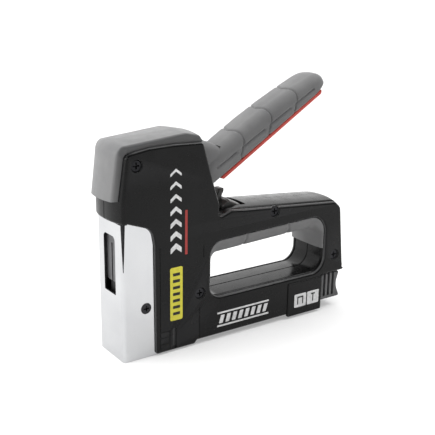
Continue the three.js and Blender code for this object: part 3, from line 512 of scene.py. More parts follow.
# ---------------------------------------------------------------- housings
BODY = outline([
    (NOSE_DEPTH, 1, 1.7),
    (NOSE_DEPTH - 0.6, 74, 3),
    (NOSE_DEPTH - 2.4, 84.8, 9),
    (2, LIP, 2.5),
    (-3, LIP, 1.7),
    (-2.9, LIP + 14, 40),
    (1.7, HEAD_TOP - 3.4, 3),
    (6.4, HEAD_TOP - 2.6, 4),
    (19.1, HEAD_TOP - 0.7, 12),
    (36.3, HEAD_TOP - 0.1, 12),
    (56.5, HEAD_TOP - 0.8, 2.5),
    (64.8, PIVOT[1] + 3.9, 30),
    (NECK, HANDLE_TOP + 3.4, 6),
    (NECK - 0.8, HANDLE_TOP - 4.5, 1.8),
    (NECK + 9, HANDLE_TOP - 1, 2),
    (NECK + 18, HANDLE_TOP, 4),
    (BODY_LENGTH - 5.4, HANDLE_TOP - HANDLE_FALL, 9),
    (BODY_LENGTH - 0.2, LOOP_FLOOR + 2, 4),
    (BODY_LENGTH, 27.4, 1.7),
    (REAR_WALL, 27.2, 0.5),
    (REAR_WALL, FOOT, 1.7),
    (53.6, FOOT, 0.8),
    (51.6, 1, 1.7),
])

LOOP = outline([
    (LOOP_FRONT, LOOP_FLOOR, 9),
    (LOOP_FRONT, LOOP_ROOF - 1.5, 10),
    (LOOP_REAR, LOOP_ROOF + 2.2, 12),
    (LOOP_REAR, LOOP_FLOOR, 10),
], 14)

RIM_GROOVE_AT = 14.9
RIM_GROOVE_DEPTH = 1.1
RIM_GROOVE_WIDTH = 0.75
SEAM_GROOVE_DEPTH = 0.8
RIM_RAISE = 0.7
SEAM_GROOVE_WIDTH = 0.5


def smooth_step(t):
    t = max(0.0, min(1.0, t))
    return t * t * (3 - 2 * t)


def rim_groove(y):
    return RIM_GROOVE_DEPTH * math.exp(-((abs(y) - RIM_GROOVE_AT) / RIM_GROOVE_WIDTH) ** 2)


def front_bow(y):
    """How far the head's front face falls back from its middle."""
    return FRONT_BOW * (abs(y) / HALF_WIDTH) ** FRONT_BOW_POWER


def bow_front(piece):
    """Bends the part of a piece behind the head's front face to follow the face's bow."""
    for vertex in piece.data.vertices:
        x, y, z = ((vertex.co - Vector((NOSE_FRONT, 0, 0))) / MM)
        if z > LIP - 13:
            vertex.co.x += MM * front_bow(y) * (1 - smooth_step((x + 3) / FRONT_BOW_REACH))
    return piece


def casing_relief(spot, step, y):
    """The crowned handle and loop, the raised rim beads on the head, and the grooves beside the rim beads and
    at the seam; bow_front bows the front.
    """
    seam = SEAM_GROOVE_DEPTH * max(0, 1 - abs(y) / SEAM_GROOVE_WIDTH)
    part = abs(y) / HALF_WIDTH
    in_loop = LOOP_FRONT - 1 < spot.x < LOOP_REAR + 1 and LOOP_FLOOR - 1 < spot.y < LOOP_ROOF + 3
    if in_loop:
        away = max(0, -step.y) if spot.y < 50 else 0
        return (0.9 * part ** 2 + rim_groove(y) + seam) * min(1, away + max(0, step.x))
    if spot.x < 3 and spot.y > LIP - 1 and step.x > 0.8:
        return seam
    if spot.y > HEAD_TOP - 6:
        return -RIM_RAISE * smooth_step((abs(y) - HALF_WIDTH + 2.1) / 0.6)
    if spot.x > NECK + 12 and spot.y > 29:
        upward = min(1, max(0, -step.y) * 1.4)
        return (HANDLE_CROWN * part ** 2.3 + rim_groove(y)) * upward + 1.2 * part ** 3 * max(0, -step.x)
    return 0.5 * part ** 2 * max(0, -step.x) if spot.x > 50 and spot.y > 80 else 0


def head_cavity():
    across = [(y * INNER_HALF / 12, 0) for y in range(-12, 13)]
    return bow_front(slab("cutter", outline([
        (FRONT_WALL - 3, LIP - 12),
        (FRONT_WALL - 2.9, LIP + 14),
        (4.8, HEAD_TOP - 5.6),
        (19.1, HEAD_TOP - 3.2),
        (36.3, HEAD_TOP - 2.6),
        (NECK + 12, HEAD_TOP - 2.6),
        (NECK + 12, HANDLE_TOP + 3),
        (LOOP_FRONT - WALL, HANDLE_TOP - 9),
        (LOOP_FRONT - WALL, ROOF_TOP),
        (NOSE_HIGH.x + GAP, ROOF_TOP),
        (NOSE_HIGH.x + GAP, LIP - 12),
    ]), across))


def handle_cavity():
    return prism([
        (LOOP_FRONT - WALL - 1, HANDLE_TOP - 9),
        (NECK + 3, HANDLE_TOP - 8.1),
        (NECK + 32, HANDLE_TOP - WALL - 2.4),
        (BODY_LENGTH - 12, HANDLE_TOP - HANDLE_FALL - WALL - 2),
        (BODY_LENGTH - WALL - 1.6, HANDLE_TOP - HANDLE_FALL - 14),
        (BODY_LENGTH - WALL - 1.2, LOOP_FLOOR),
        (LOOP_REAR + WALL + 0.8, LOOP_FLOOR),
        (LOOP_REAR + WALL + 0.8, LOOP_ROOF - 8),
        (LOOP_REAR - 6, LOOP_ROOF + WALL + 2.4),
        (LOOP_FRONT + 8, LOOP_ROOF + WALL),
    ], -INNER_HALF, INNER_HALF)


def casing_cutters():
    """The hollow inside, the ways out of it and the recesses in its sides."""
    wide = HALF_WIDTH + 5
    bay_wall = SLOT_HALF + WALL
    bay_rear = REAR_WALL - WALL
    tools = [
        head_cavity(),
        handle_cavity(),
        block(NOSE_DEPTH + NOSE_EAR, bay_rear, -INNER_HALF, INNER_HALF, ROOF_TOP, LOOP_FLOOR - WALL - 1),
        block(NOSE_DEPTH + 24, bay_rear, bay_wall, INNER_HALF, FOOT + WALL, ROOF_TOP + 0.1),
        block(NOSE_DEPTH + 24, bay_rear, -INNER_HALF, -bay_wall, FOOT + WALL, ROOF_TOP + 0.1),
        block(NOSE_SHEET + 2.2, NOSE_HIGH.x + GAP, -NOSE_HALF - GAP, NOSE_HALF + GAP, -5, LIP + 8),
        block(-1, REAR_WALL + 5, -SLOT_HALF, SLOT_HALF, -5, SLOT_TOP),
        block(REAR_WALL - 9, REAR_WALL + 5, -4.5, 4.5, ROOF_TOP + 0.6, ROOF_TOP + 5.4),
        block(PIVOT[0] - 9, PIVOT[0] + 20, -LEVER_HALF - 0.6, LEVER_HALF + 0.6, PIVOT[1] + 10, HEAD_TOP + 5),
        block(NECK - 5, NECK + 25.6, -10, 10, HANDLE_TOP - 10.5, HEAD_TOP),
    ]
    for side in (-1, 1):
        y0, y1 = sorted((side * (HALF_WIDTH - 1.5), side * wide))
        slot = outline([(34.4, 2.4, 0.6), (37.4, 2.4, 0.6), (37.4, 16.6, 1.4), (34.4, 16.6, 1.4)])
        tools.append(slab("cutter", slot, [(y0, 0), (y1, 0)]))
        score0, score1 = sorted((side * (HALF_WIDTH - 0.35), side * wide))
        tools += [block(25.4, 32, score0, score1, z, z + 0.6) for z in (6.8, 11, 15)]
        tools += [block(31.8, 32.5, score0, score1, 3, 15.6), block(25, 25.6, score0, score1, 4, 72)]
        tools += [block(54.6, 55.2, score0, score1, 5, 26), block(57.4, 58, score0, score1, 60, 68)]
    for x, z in HOUSING_SCREWS:
        tools.append(rod(x, z, 2, -wide, HALF_WIDTH - 5.5, 24))
        tools.append(rod(x, z, SCREW_HEAD + GAP, -wide, -HALF_WIDTH + 3))
    return tools


def side_pads():
    pads = []
    for side in (-1, 1):
        outer = side * (HALF_WIDTH + PAD_RAISE)
        inner = side * (HALF_WIDTH - 1)
        y0, y1 = sorted((outer, inner))
        rounding = (0.6, 0) if side < 0 else (0, 0.6)
        shape = panel(BODY_LENGTH - 53, REAR_WALL, FOOT - 1.6, 26.6, 1.2)
        pads.append(slab("cutter", shape, edged(y0, y1, *rounding)))
    return pads


def housings():
    across = [i * 1.5 for i in range(-11, 12)] + [-SEAM_GROOVE_WIDTH, SEAM_GROOVE_WIDTH]
    beside = [side * (RIM_GROOVE_AT + k * 0.25) for side in (-1, 1) for k in range(-7, 6)]
    stations = edged(-HALF_WIDTH, HALF_WIDTH, EDGE, EDGE, across + beside, 7)
    whole = bow_front(slab("whole", BODY, stations, [LOOP], casing_relief))
    carve(whole, side_pads(), "UNION")
    carve(whole, casing_cutters())
    for name, side in (("left_housing", -1), ("right_housing", 1)):
        half = whole.copy()
        half.data = whole.data.copy()
        half.name = name + "_shell"
        bpy.context.scene.collection.objects.link(half)
        y0, y1 = sorted((side * SEAM * 0.7, side * 60))
        carve(half, [block(-50, BODY_LENGTH + 50, y0, y1, -50, HEAD_TOP + 50)], "INTERSECT")
        complete(half, "frame", CASING, "casing", name, smooth=28)
    bpy.data.objects.remove(whole)


housings()


# ---------------------------------------------------------------- screws
def screw(name, x, z, radius, outer, inner, shank_end, node):
    """A cross-recess screw whose domed head faces outward on one side."""
    side = -1 if outer < 0 else 1
    y0, y1 = sorted((outer, inner))
    rounding = (0.5, 0.15) if side < 0 else (0.15, 0.5)
    head = slab(name, circle(x, z, radius), edged(y0, y1, *rounding))
    s0, s1 = sorted((inner - side * 0.4, shank_end))
    carve(head, [rod(x, z, 1.6, s0, s1, 24)], "UNION")
    recess0, recess1 = sorted((outer + side, outer - side * 1.3))
    arm, half = radius * 0.56, 0.5
    carve(head, [block(x - arm, x + arm, recess0, recess1, z - half, z + half),
                 block(x - half, x + half, recess0, recess1, z - arm, z + arm)])
    complete(head, "frame", BLACK_STEEL, "black_steel", node)


for i, (x, z) in enumerate(HOUSING_SCREWS, 1):
    screw(f"case_screw_{i}", x, z, SCREW_HEAD, 1.1 - HALF_WIDTH, 3 - GAP - HALF_WIDTH, HALF_WIDTH - 6,
          f"housing_screw_{i}")
CORE_HALF = NOSE_HALF - NOSE_SHEET
for name, side in (("left", -1), ("right", 1)):
    screw(f"nose_screw_head_{name}", *NOSE_SCREW, NOSE_SCREW_HEAD, side * (NOSE_HALF + 0.3), side * CORE_HALF,
          side * 6, f"nose_screw_{name}")


# ---------------------------------------------------------------- nose plate
NOSE_CORNER = 2.5


def nose_depth(spot):
    """How deep a place lies under the nose plate's outer skin, in millimetres."""
    x, y = (spot.x - NOSE_FRONT) / MM, abs(spot.y) / MM
    past = y - NOSE_HALF + NOSE_CORNER
    if x < NOSE_CORNER and past > 0:
        return NOSE_CORNER - math.hypot(x - NOSE_CORNER, past)
    return min(x, NOSE_HALF - y)


def nose_plate():
    """The bent sheet: plated outside, dull on its cut edges and inside."""
    rear = NOSE_HIGH.x
    plan = outline([
        (rear, -NOSE_HALF),
        (0, -NOSE_HALF, NOSE_CORNER),
        (0, NOSE_HALF, NOSE_CORNER),
        (rear, NOSE_HALF),
        (rear, CORE_HALF),
        (NOSE_SHEET, CORE_HALF, 1.1),
        (NOSE_SHEET, -CORE_HALF, 1.1),
        (rear, -CORE_HALF),
    ], 10)
    plate = slab("nose_shell", plan, edged(0, NOSE_HIGH.z, 0.35, 0.2, range(4, 96, 4)), upright=True)
    window = outline([(-7.3, 42.9, 0.8), (7.3, 42.9, 0.8), (7.3, 80.6, 3), (-7.3, 80.6, 3)])
    opening = slab("cutter", window, [(-3, 0), (4, 0)])
    opening.data.transform(Matrix.Translation(place(0, 0, 0)) @ Matrix.Rotation(math.pi / 2, 4, "Z")
                           @ Matrix.Translation(-place(0, 0, 0)))
    wedge = [(0.1, 92), (2.6, 92), (1.3, 60), (0.9, 60)]
    slits = [prism(wedge, side * NOSE_HALF - 1.4, side * NOSE_HALF + 1.4) for side in (-1, 1)]
    upper = block(-5, NOSE_SHEET + 2.5, -30, 30, LIP - 0.6, HEAD_TOP)
    carve(plate, [upper, opening, *slits, rod(*NOSE_SCREW, NOSE_SCREW_HEAD + 0.25, -30, 30)])
    complete(plate, "frame", CHROME, "chrome", "nose_plate")
    plate.data.materials.append(NEAR_BLACK_STEEL)
    for face in plate.data.polygons:
        face.material_index = int(nose_depth(face.center) > 0.4)


nose_plate()


# ---------------------------------------------------------------- soft bumper on the head
def head_bumper():
    inner = strand([
        (-2.9, LIP + 14.1),
        (1.6, HEAD_TOP - 3.1, 4),
        (19.1, HEAD_TOP - 0.6, 10),
        (36.3, HEAD_TOP, 10),
        (50, HEAD_TOP - 0.4, 4),
        (56.9, HEAD_TOP - 0.7),
    ])
    outer = strand([
        (-6.8, LIP + 14.1),
        (-2.2, HEAD_TOP + 2.9, 8),
        (19.1, HEAD_TOP + 5.0, 30),
        (46, HEAD_TOP + 7.0, 16),
        (56.6, HEAD_TOP + 5.0, 5),
        (59, HEAD_TOP + 1.4, 1.5),
        (58.8, HEAD_TOP - 0.9),
    ])
    rows = []
    for low, high in zip(inner, outer):
        height = (high - low).length
        rise = (high - low) / height
        front = max(0, -rise.x)
        base_half = 15.7 - 1.3 * front
        ridge_half = 16.1 - 2.6 * front
        drop = 1.4 - 1.0 * front
        base = Vector((base_half, 0))
        ridge = Vector((ridge_half, max(0.4, height - drop)))
        ring = [base.lerp(ridge, k / 4) for k in range(3)]
        ring += corner_arc(base, ridge, Vector((0, height)), 1.6, 6)
        flat = ring[-1].x
        for k in range(1, 9):
            y = flat * (1 - k / 8)
            ring.append(Vector((y, height + (ring[8].y - height) * (y / flat) ** 2)))
        ring += [Vector((-v.x, v.y)) for v in reversed(ring[:-1])]
        ring += [Vector((-base_half * (1 - k / 6), 0)) for k in range(1, 12)]
        rows.append([(low.x + rise.x * v.y + front_bow(v.x) * front, v.x, low.y + rise.y * v.y)
                     for v in ring])
    piece = grid("bumper_cover", rows)
    trim = piece.modifiers.new("edge", "BEVEL")
    trim.width = 0.0006
    trim.segments = 3
    trim.limit_method = "ANGLE"
    trim.angle_limit = math.radians(60)
    bake(piece)
    complete(piece, "frame", BUMPER_GREY, "soft_grey", "head_bumper")


head_bumper()


# ---------------------------------------------------------------- soft grip inside the loop
GRIP_HALF = GRIP_HIGH.y
GRIP_DEPTH = 11


def loop_grip():
    low_end = GRIP_LOW.z
    rear_end = 47.4
    outer = strand([
        (LOOP_FRONT + 0.2, low_end),
        (LOOP_FRONT + 0.2, LOOP_ROOF - 1.7, 9.8),
        (LOOP_REAR - 0.2, LOOP_ROOF + 2, 11.8),
        (LOOP_REAR - 0.2, rear_end),
    ], 14, 150)
    inner = strand([
        (LOOP_FRONT + 1.5, low_end),
        (LOOP_FRONT + 1.5, LOOP_ROOF - GRIP_DEPTH - 0.6, 6),
        (LOOP_REAR - 2.3, LOOP_ROOF - GRIP_DEPTH + 3.4, 9),
        (LOOP_REAR - 2.3, rear_end),
    ], 14, 150)
    power = 3.3
    sides = 24
    grooves = (LOOP_FRONT + 29, LOOP_FRONT + 67)
    rows = []
    for back, face in zip(outer, inner):
        dent = sum(2.2 * math.exp(-((face.x - x) / 1.1) ** 2) for x in grooves) if face.y > 56 else 0
        depth = (face - back).length
        ring = []
        for k in range(sides + 1):
            turn = math.pi * k / sides
            half = GRIP_HALF - 0.35 * dent
            y = half * math.copysign(abs(math.cos(turn)) ** (2 / power), math.cos(turn))
            reach = math.sin(turn) ** (2 / power) if 0 < k < sides else 0
            at = back.lerp(face, reach * (1 - dent / depth))
            ring.append((at.x, y, at.y))
        ring += [(back.x, GRIP_HALF * t, back.y) for t in (-0.6, -0.2, 0.2, 0.6)]
        rows.append(ring)
    piece = grid("loop_grip_cover", rows)
    complete(piece, "frame", SOFT_GREY, "soft_grey", "loop_grip", smooth=55)


loop_grip()


# ---------------------------------------------------------------- lever: u along it, w across it
def on_lever(u, w):
    c, s = math.cos(LEVER_ANGLE), math.sin(LEVER_ANGLE)
    return PIVOT[0] + u * c - w * s, PIVOT[1] + u * s + w * c


def lever_outline(points, steps=8):
    return [Vector(on_lever(*p)) for p in outline(points, steps)]


def between(table, u):
    """A height read off a short list of (u, height), along straight lines between its entries."""
    for (u0, h0), (u1, h1) in zip(table, table[1:]):
        if u <= u1:
            return h0 + (h1 - h0) * (u - u0) / (u1 - u0)
    return table[-1][1]


LEVER_TOP = [(0, 10.2), (14, 11.1), (30, 12.2), (50, 12.75), (70, 12.5), (90, 11.4), (105, 9.8), (125, 7.2)]
LEVER_UNDER = [(0, -4.9), (17, -4.3), (115, -1.7), (130, -1.4)]
PANEL_GROOVES = (40.5, 66, 90.5)
SIDE_GROOVE = 2.4
GROOVE_DEPTH = 1.15
GROOVE_WIDTH = 0.7


def lever_groove(u, w, y, top):
    """How deep the panel grooves cut: an arc over each panel's end, and a line along each side."""
    depth = 0
    side = abs(y) / LEVER_HALF
    for start in PANEL_GROOVES:
        if w > SIDE_GROOVE:
            line = start - 4.5 * ((top - w) / (top - SIDE_GROOVE)) ** 3 - 3.2 * (1 - side) ** 1.4
        else:
            line = start - 4.5 - 3.6 * smooth_step((SIDE_GROOVE - w) / 4.5)
        depth = max(depth, math.exp(-((u - line) / GROOVE_WIDTH) ** 2))
    if side > 0.8 and 13 < u < 104:
        near = min(abs(u - (start - 7.5)) for start in PANEL_GROOVES)
        along = smooth_step((near - 0.6) / 2.5)
        depth = max(depth, math.exp(-((w - SIDE_GROOVE) / GROOVE_WIDTH) ** 2) * along)
    return GROOVE_DEPTH * depth


def lever_grip():
    rows = []
    start = 3
    count = 320
    for i in range(count + 1):
        u = start + (LEVER_END - start) * (1 - (1 - i / count) ** 1.15)
        tip = max(0.0, (u - (LEVER_END - 11)) / 11)
        under = between(LEVER_UNDER, u)
        top = under + (between(LEVER_TOP, u) - under) * (0.25 + 0.75 * math.sqrt(max(0.0, 1 - tip ** 2.3)))
        plan = max(0.0, (u - (LEVER_END - 17)) / 17)
        half = LEVER_HALF * (0.25 + 0.75 * math.sqrt(max(0.0, 1 - plan ** 2.1)))
        radius = min(8.5, (top - under) * 0.62, half * 0.8)
        section = []
        for k in range(13):
            section.append((half, under + 0.8 + (top - radius - under - 0.8) * k / 12))
        for k in range(1, 17):
            turn = math.pi / 2 * k / 16
            section.append((half - radius * (1 - math.cos(turn)), top - radius * (1 - math.sin(turn))))
        flat = section[-1][0]
        for k in range(1, 7):
            section.append((flat * (1 - k / 6), top + 0.35 * (1 - (1 - k / 6) ** 2)))
        section.insert(0, (half - 0.8, under))
        section += [(-y, w) for y, w in reversed(section[:-1])]
        row = []
        for y, w in section:
            dent = lever_groove(u, w, y, top)
            out = Vector((y, max(0, w - (top - radius))))
            if out.length:
                out.normalize()
            at_y, at_w = y - out.x * dent, w - out.y * dent
            x, z = on_lever(u, at_w)
            row.append((x, at_y, z))
        rows.append(row)
    piece = grid("lever_grip_cover", rows)
    carve(piece, [rod(*PIVOT, HUB + GAP, -8.6, 8.6, 128)])
    complete(piece, "lever", SOFT_GREY, "soft_grey", "lever_grip", smooth=60)


lever_grip()


def lever_body():
    """The moulded hub and the beam that runs on inside the grip."""
    stations = edged(-HUB_HALF, HUB_HALF, HUB_EDGE, HUB_EDGE, steps=10)
    hub = slab("lever_hub", circle(*PIVOT, HUB, 160), stations)
    kept = [(-9, 60), (-14, 16), (-10, 2), (2, -4.6), (HUB + 2, -4.2), (HUB + 2, 4), (40, 23)]
    carve(hub, [slab("cutter", lever_outline(kept), [(-30, 0), (30, 0)])], "INTERSECT")
    beam = slab("cutter", lever_outline([(14, -4.2), (105, -1.9), (105, 4), (14, 7.6)]),
                edged(-LEVER_HALF + 4.4, LEVER_HALF - 4.4))
    carve(hub, [beam], "UNION")
    hollow = [(-60, 20), (-60, -30), (16.3, -30), (16.3, -5.7), (26.3, 1.2), (62.3, 0.2), (62.3, 6.9),
              (0, 9.3), (-8.3, 9.3)]
    room = slab("cutter", lever_outline(hollow), [(-5.8, 0), (5.8, 0)])
    wells = [rod(*PIVOT, 11.5, y0, y1) for y0, y1 in ((-30, -9), (9, 30))]
    carve(hub, [room, *wells, rod(*PIVOT, 3.3, -30, 30)])
    complete(hub, "lever", SOFT_GREY, "soft_grey", "lever_body")


lever_body()


def lever_insert():
    strip = lever_outline([
        (12.6, -5, 0.95),
        (LEVER_END - 7.4, -1.9, 0.95),
        (LEVER_END - 9.4, -4.9, 1.6),
        (14.4, -7.8, 1.2),
    ])
    half = LEVER_HALF - 1.3
    piece = slab("lever_strip", strip, edged(-half, half, 0.9, 0.9))
    carve(piece, [slab("cutter", circle(*PIVOT, 31.5, 96), [(-4.2, 0), (4.2, 0)])])
    complete(piece, "lever", RED, "red_insert", "lever_insert")


lever_insert()


# ---------------------------------------------------------------- storage lock
def lock_latch():
    x, z = LATCH
    hook = slab("latch_piece", outline([
        (x - 3, z - 3.2, 1.5),
        (x + 4, z - 3.2, 1),
        (x + 3, z + 6, 2),
        (x + 3.2, z + 12, 3),
        (x + 4.6, z + 14.6, 1),
        (x + 4.8, z + 16.8, 0.8),
        (x + 1.2, z + 16.8, 1.5),
        (x - 1.2, z + 12, 3),
        (x - 3, z + 4, 3),
    ]), edged(-3.3, 3.3, 0.6, 0.6))
    thumb = outline([
        (x, z - 3, 1),
        (x + 17, z - 1.4, 1),
        (x + 17, z + 2.8, 1.5),
        (x + 14.5, z + 6.2, 5),
        (x + 5, z + 10.4, 4),
        (x - 1.2, z + 7.4, 2),
        (x - 1.2, z + 2, 1),
    ])
    ribs = [x + 5 + k * 2.2 for k in range(5)]

    def ribbed(spot, step, y):
        dent = sum(0.45 * math.exp(-((spot.x - rib) / 0.5) ** 2) for rib in ribs)
        crown = 1.6 * (abs(y) / 9.2) ** 4
        return (dent + crown) * max(0, -step.y) if spot.y > z + 2 else 0

    pad = slab("cutter", thumb, edged(-9.2, 9.2, 0.8, 0.8, range(-8, 9)), relief=ribbed)
    carve(hook, [pad], "UNION")
    carve(hook, [rod(x, z, 1.8, -30, 30, 32)])
    complete(hook, "latch", LATCH_PLASTIC, "casing", "lock_latch")


lock_latch()


# ---------------------------------------------------------------- magazine pull
def magazine_pull():
    low, high = PULL_LOW.z + 2.8, PULL_HIGH.z
    rear = PULL_HIGH.x
    half = PULL_HIGH.y
    shape = outline([
        (PULL_FRONT, low, 1.3),
        (rear, low, 1.4),
        (rear - 4.6, low + 10, 14),
        (rear - 1.2, high, 1.4),
        (PULL_FRONT, high, 1.3),
    ], 12)

    def ribbed(spot, step, y):
        return 0.5 * (abs(y) / half) ** 2 * max(0, -step.x)

    piece = slab("pull_cover", shape, edged(-half, half, 0.9, 0.9, range(-15, 16, 2)), relief=ribbed)
    slots = []
    for start in (PULL_FRONT + 2.1, PULL_FRONT + 6.1, PULL_FRONT + 10.1):
        end = start + 2.2
        for side in (-1, 1):
            y0, y1 = sorted((side * (half - 2.4), side * (half + 5)))
            foot = low + 2.4
            cut = outline([(start, foot, 0.7), (end, foot, 0.7), (end, high + 3), (start, high + 3)])
            slots.append(slab("cutter", cut, [(y0, 0), (y1, 0)]))
    carve(piece, slots)
    tongue = [block(PULL_FRONT - 12, PULL_FRONT + 1, -2.9, 2.9, 4.1, 11.2)]
    carve(piece, tongue, "UNION")
    carve(piece, [block(PULL_FRONT - 1, PULL_FRONT + 4, -4.1, 4.1, ROOF_TOP + 1.2, ROOF_TOP + 2.8)])
    complete(piece, "magazine", PULL_PLASTIC, "grey_plastic", "magazine_pull")


magazine_pull()


# ---------------------------------------------------------------- printed marks, none of them lettering
INK = 0.08
THIN_INK = 0.05
SIDE_FACE = -HALF_WIDTH


def mark(name, shapes, paint, face=SIDE_FACE, thickness=INK):
    """Several thin printed shapes on the left side, as one piece."""
    parts = [slab(f"{name}_part", shape, [(face - thickness, 0), (face + 0.02, 0)]) for shape in shapes]
    first = parts[0]
    shape = bmesh.new()
    for part in parts:
        shape.from_mesh(part.data)
    shape.to_mesh(first.data)
    shape.free()
    for part in parts[1:]:
        bpy.data.objects.remove(part)
    first.name = name
    return complete(first, "frame", paint, "casing")


def bar(x0, x1, z0, z1, slant=0.0, radius=0.3):
    """A printed bar; a slanted one leans back towards its top."""
    low = [(x0, z0, radius), (x1, z0, radius)]
    high = [(x1 + slant, z1, radius), (x0 + slant, z1, radius)]
    return outline(low + high, 3)


def chevron(x0, x1, z, rise, thick):
    """An arrow-like stripe that points up the head."""
    mid = (x0 + x1) / 2
    low = [(x0, z, 0.2), (mid, z + rise, 0.4), (x1, z, 0.2)]
    return outline(low + [(x, height + thick, radius) for x, height, radius in reversed(low)], 3)


mark("head_chevrons", [chevron(33, 41, 66.5 + k * 8.2, 3.2, 3.6 - k * 0.3) for k in range(7)], WHITE_INK)
mark("head_stripe", [bar(43.6, 45.4, 64.6, 93.6)], RED_INK)
mark("side_label", [panel(32.6, 41.8, 21.6, 57.4, 1.2)], YELLOW_FOIL)
LABEL_FACE = SIDE_FACE - INK
bars = [bar(34.6, 39.8, 25.2 + k * 4.4, 27.2 + k * 4.4) for k in range(7)]
mark("label_bars", bars, BLACK_INK, LABEL_FACE, THIN_INK)
stripes = [bar(69, 112.2, 8.6, 9.8), bar(69, 112.2, 17.9, 19.1)]
stripes += [bar(70.4 + k * 5.2, 73.4 + k * 5.2, 11, 16.7, 1.6) for k in range(8)]
mark("foot_stripes", stripes, WHITE_INK)

PAD_FACE = -HALF_WIDTH - PAD_RAISE


def icon_plate(x0):
    return panel(x0, x0 + 10.8, 7.6, 17.5, 0.8)


def staple_icon(x0):
    return outline([(x0 + 2.6, 9.6), (x0 + 3.6, 9.6), (x0 + 3.6, 14.5), (x0 + 7.2, 14.5), (x0 + 7.2, 9.6),
                    (x0 + 8.2, 9.6), (x0 + 8.2, 15.6, 0.5), (x0 + 2.6, 15.6, 0.5)])


def nail_icon(x0):
    return outline([(x0 + 4.9, 9.8), (x0 + 5.4, 9.2), (x0 + 5.9, 9.8), (x0 + 5.9, 14.8), (x0 + 7.2, 14.8),
                    (x0 + 7.2, 15.8), (x0 + 3.6, 15.8), (x0 + 3.6, 14.8), (x0 + 4.9, 14.8)])


ICONS = (134.8, 146.6)
mark("icon_plates", [icon_plate(x) for x in ICONS], WHITE_INK, PAD_FACE)
mark("icon_signs", [staple_icon(ICONS[0]), nail_icon(ICONS[1])], BLACK_INK, PAD_FACE - INK, THIN_INK)


# ---------------------------------------------------------------- spring seat, clear of the bowed front
def spring_seat():
    low, high = reading("spring_seat")
    plan = outline([(low.x, low.y, 5), (high.x, low.y, 1), (high.x, high.y, 1), (low.x, high.y, 5)])
    seat = slab("spring_seat_plate", plan, edged(low.z, high.z, 0.2, 0.2), upright=True)
    complete(seat, "frame", STEEL, "steel", "spring_seat")


spring_seat()


# ---------------------------------------------------------------- coil springs
def coil(node, wire, turns, along, centre):
    """A round-wire spring in a CAD spring's place, with closed ends; centre gives its axis across `along`."""
    low, high = reading(node)
    start, end = low[along] + wire, high[along] - wire
    radius = (high.y - low.y) / 2 - wire
    per_turn, sides = 28, 8
    ends = 0.07
    rows = []
    for i in range(turns * per_turn + 1):
        t = i / (turns * per_turn)
        rise = start + (end - start) * (ends * t + (1 - ends) * smooth_step(t * 1.1 - 0.05))
        turn = 2 * math.pi * turns * t
        row = []
        for k in range(sides):
            lean = 2 * math.pi * k / sides
            out = radius + wire * math.cos(lean)
            up = rise + wire * math.sin(lean)
            first, second = out * math.cos(turn), out * math.sin(turn)
            row.append((up, first, centre + second) if along == 0 else (centre + first, second, up))
        rows.append(row)
    piece = grid(node + "_coil", rows)
    for polygon in piece.data.polygons:
        polygon.use_smooth = True
    piece.data.materials.append(SPRING_STEEL)
    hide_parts(node)
    return piece


def springs():
    low, high = reading("main_spring")
    main = coil("main_spring", 0.9, 7, 2, (low.x + high.x) / 2)
    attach(main, "frame")
    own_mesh(main)
    low, high = reading("pusher_spring")
    small = coil("pusher_spring", 0.3, 24, 0, (low.z + high.z) / 2)
    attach(small, "magazine")
    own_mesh(small)


springs()


# ---------------------------------------------------------------- CAD nodes that show as they are
CAD_PAINTS = {
    DARK_STEEL: ["hammer"],
    # The driver blade shows only through the nose slit; its near-black steel there is painted shade.
    NEAR_BLACK_STEEL: ["driver_blade"],
    DAMPER: ["impact_bumper"],
    STEEL: ["blade_pin", "guide_plate", "lever_cross_pin", "lever_pin",
            "latch_pin", "magazine_channel", "staple_rail", "pusher_rod"],
    SPRING_STEEL: ["lever_return_spring", "magazine_catch"],
    BLACK_STEEL: ["lever_arm", "pusher"],
    STAPLE: ["staple_strip"],
    CASING: ["nose_core"],
}
for paint, names in CAD_PAINTS.items():
    for name in names:
        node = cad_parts[name]
        node.data.materials.clear()
        node.data.materials.append(paint)
        if "spring" not in name:
            softened = node.modifiers.new("edge", "BEVEL")
            softened.width = 0.0002
            softened.segments = 2
            softened.limit_method = "ANGLE"
            softened.angle_limit = math.radians(40)


# ---------------------------------------------------------------- floor, light and camera
def floor():
    mesh = bpy.data.meshes.new("floor")
    reach = 60
    corners = [(-reach, -reach, 0), (reach, -reach, 0), (reach, reach, 0), (-reach, reach, 0)]
    mesh.from_pydata(corners, [], [(0, 1, 2, 3)])
    sheet = bpy.data.objects.new("floor", mesh)
    bpy.context.scene.collection.objects.link(sheet)
    paint = Paint("pale_floor").settle(Specular_IOR_Level=0.1, Roughness=0.8, Emission_Color=(1, 1, 1, 1),
                                       Emission_Strength=0.32)
    tones = [(0.3, (0.64, 0.64, 0.64)), (0.7, (0.66, 0.66, 0.66))]
    paint.paint("Base Color", paint.ramp(paint.noise(3, 2), tones))
    mesh.materials.append(paint.made)


floor()


def softbox(name, power, size, spot, aim=(0, 0, 0.07)):
    light = bpy.data.lights.new(name, "AREA")
    light.energy = power
    light.size = size
    lamp = bpy.data.objects.new(name, light)
    lamp.location = spot
    lamp.rotation_euler = (Vector(aim) - Vector(spot)).to_track_quat("-Z", "Y").to_euler()
    bpy.context.scene.collection.objects.link(lamp)


softbox("left_box", 11, 1.0, (-1.3, 0.3, 0.65))
softbox("top_box", 1, 1.0, (-0.2, 0.5, 1.1))
softbox("rim_box", 5, 0.5, (0.75, -0.4, 1.15))


def overhead():
    """Broad light from above and behind, even over the whole floor."""
    light = bpy.data.lights.new("overhead", "SUN")
    light.energy = 0.3
    light.angle = math.radians(70)
    lamp = bpy.data.objects.new("overhead", light)
    lamp.rotation_euler = Vector((0.35, -0.35, -1)).to_track_quat("-Z", "Y").to_euler()
    bpy.context.scene.collection.objects.link(lamp)


overhead()


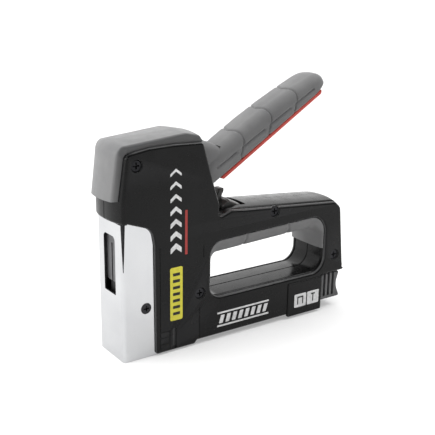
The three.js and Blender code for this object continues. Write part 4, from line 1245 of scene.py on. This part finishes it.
def studio_world():
    """A white surround, brightest overhead and behind the object."""
    world = bpy.data.worlds.new("studio")
    bpy.context.scene.world = world
    world.use_nodes = True
    nodes, links = world.node_tree.nodes, world.node_tree.links
    seen = nodes["Background"]
    seen.inputs["Color"].default_value = (1, 1, 1, 1)
    seen.inputs["Strength"].default_value = 1.0
    lit = nodes.new("ShaderNodeBackground")
    lit.inputs["Color"].default_value = (1, 1, 1, 1)
    way = nodes.new("ShaderNodeTexCoord")
    split = nodes.new("ShaderNodeSeparateXYZ")
    fade = nodes.new("ShaderNodeMapRange")
    fade.inputs["From Min"].default_value = -0.3
    fade.inputs["From Max"].default_value = 0.7
    fade.inputs["To Min"].default_value = 0.1
    fade.inputs["To Max"].default_value = 1.55
    lean = nodes.new("ShaderNodeMath")
    lean.operation = "MULTIPLY_ADD"
    lean.inputs[1].default_value = 0.8
    links.new(way.outputs["Generated"], split.inputs["Vector"])
    links.new(split.outputs["Z"], lean.inputs[0])
    links.new(split.outputs["Y"], lean.inputs[2])
    links.new(lean.outputs["Value"], fade.inputs["Value"])
    links.new(fade.outputs["Result"], lit.inputs["Strength"])
    mix = nodes.new("ShaderNodeMixShader")
    path = nodes.new("ShaderNodeLightPath")
    links.new(path.outputs["Is Camera Ray"], mix.inputs["Fac"])
    links.new(lit.outputs["Background"], mix.inputs[1])
    links.new(seen.outputs["Background"], mix.inputs[2])
    links.new(mix.outputs["Shader"], nodes["World Output"].inputs["Surface"])


studio_world()

CAMERA_PLACE = (-0.30001, -0.42033, 0.23030)
CAMERA_AZIMUTH = 34.9
CAMERA_ELEVATION = 16.5
CAMERA_ROLL = 0.8
CAMERA_LENS = 66.4


def camera():
    data = bpy.data.cameras.new("camera")
    data.lens = CAMERA_LENS
    data.sensor_width = 36
    data.clip_start = 0.01
    eye = bpy.data.objects.new("camera", data)
    turn = (Matrix.Rotation(math.radians(-CAMERA_AZIMUTH), 4, "Z")
            @ Matrix.Rotation(math.radians(90 - CAMERA_ELEVATION), 4, "X")
            @ Matrix.Rotation(math.radians(CAMERA_ROLL), 4, "Z"))
    eye.matrix_world = Matrix.Translation(CAMERA_PLACE) @ turn
    bpy.context.scene.collection.objects.link(eye)
    bpy.context.scene.camera = eye


camera()
bpy.context.scene.view_settings.view_transform = "Standard"
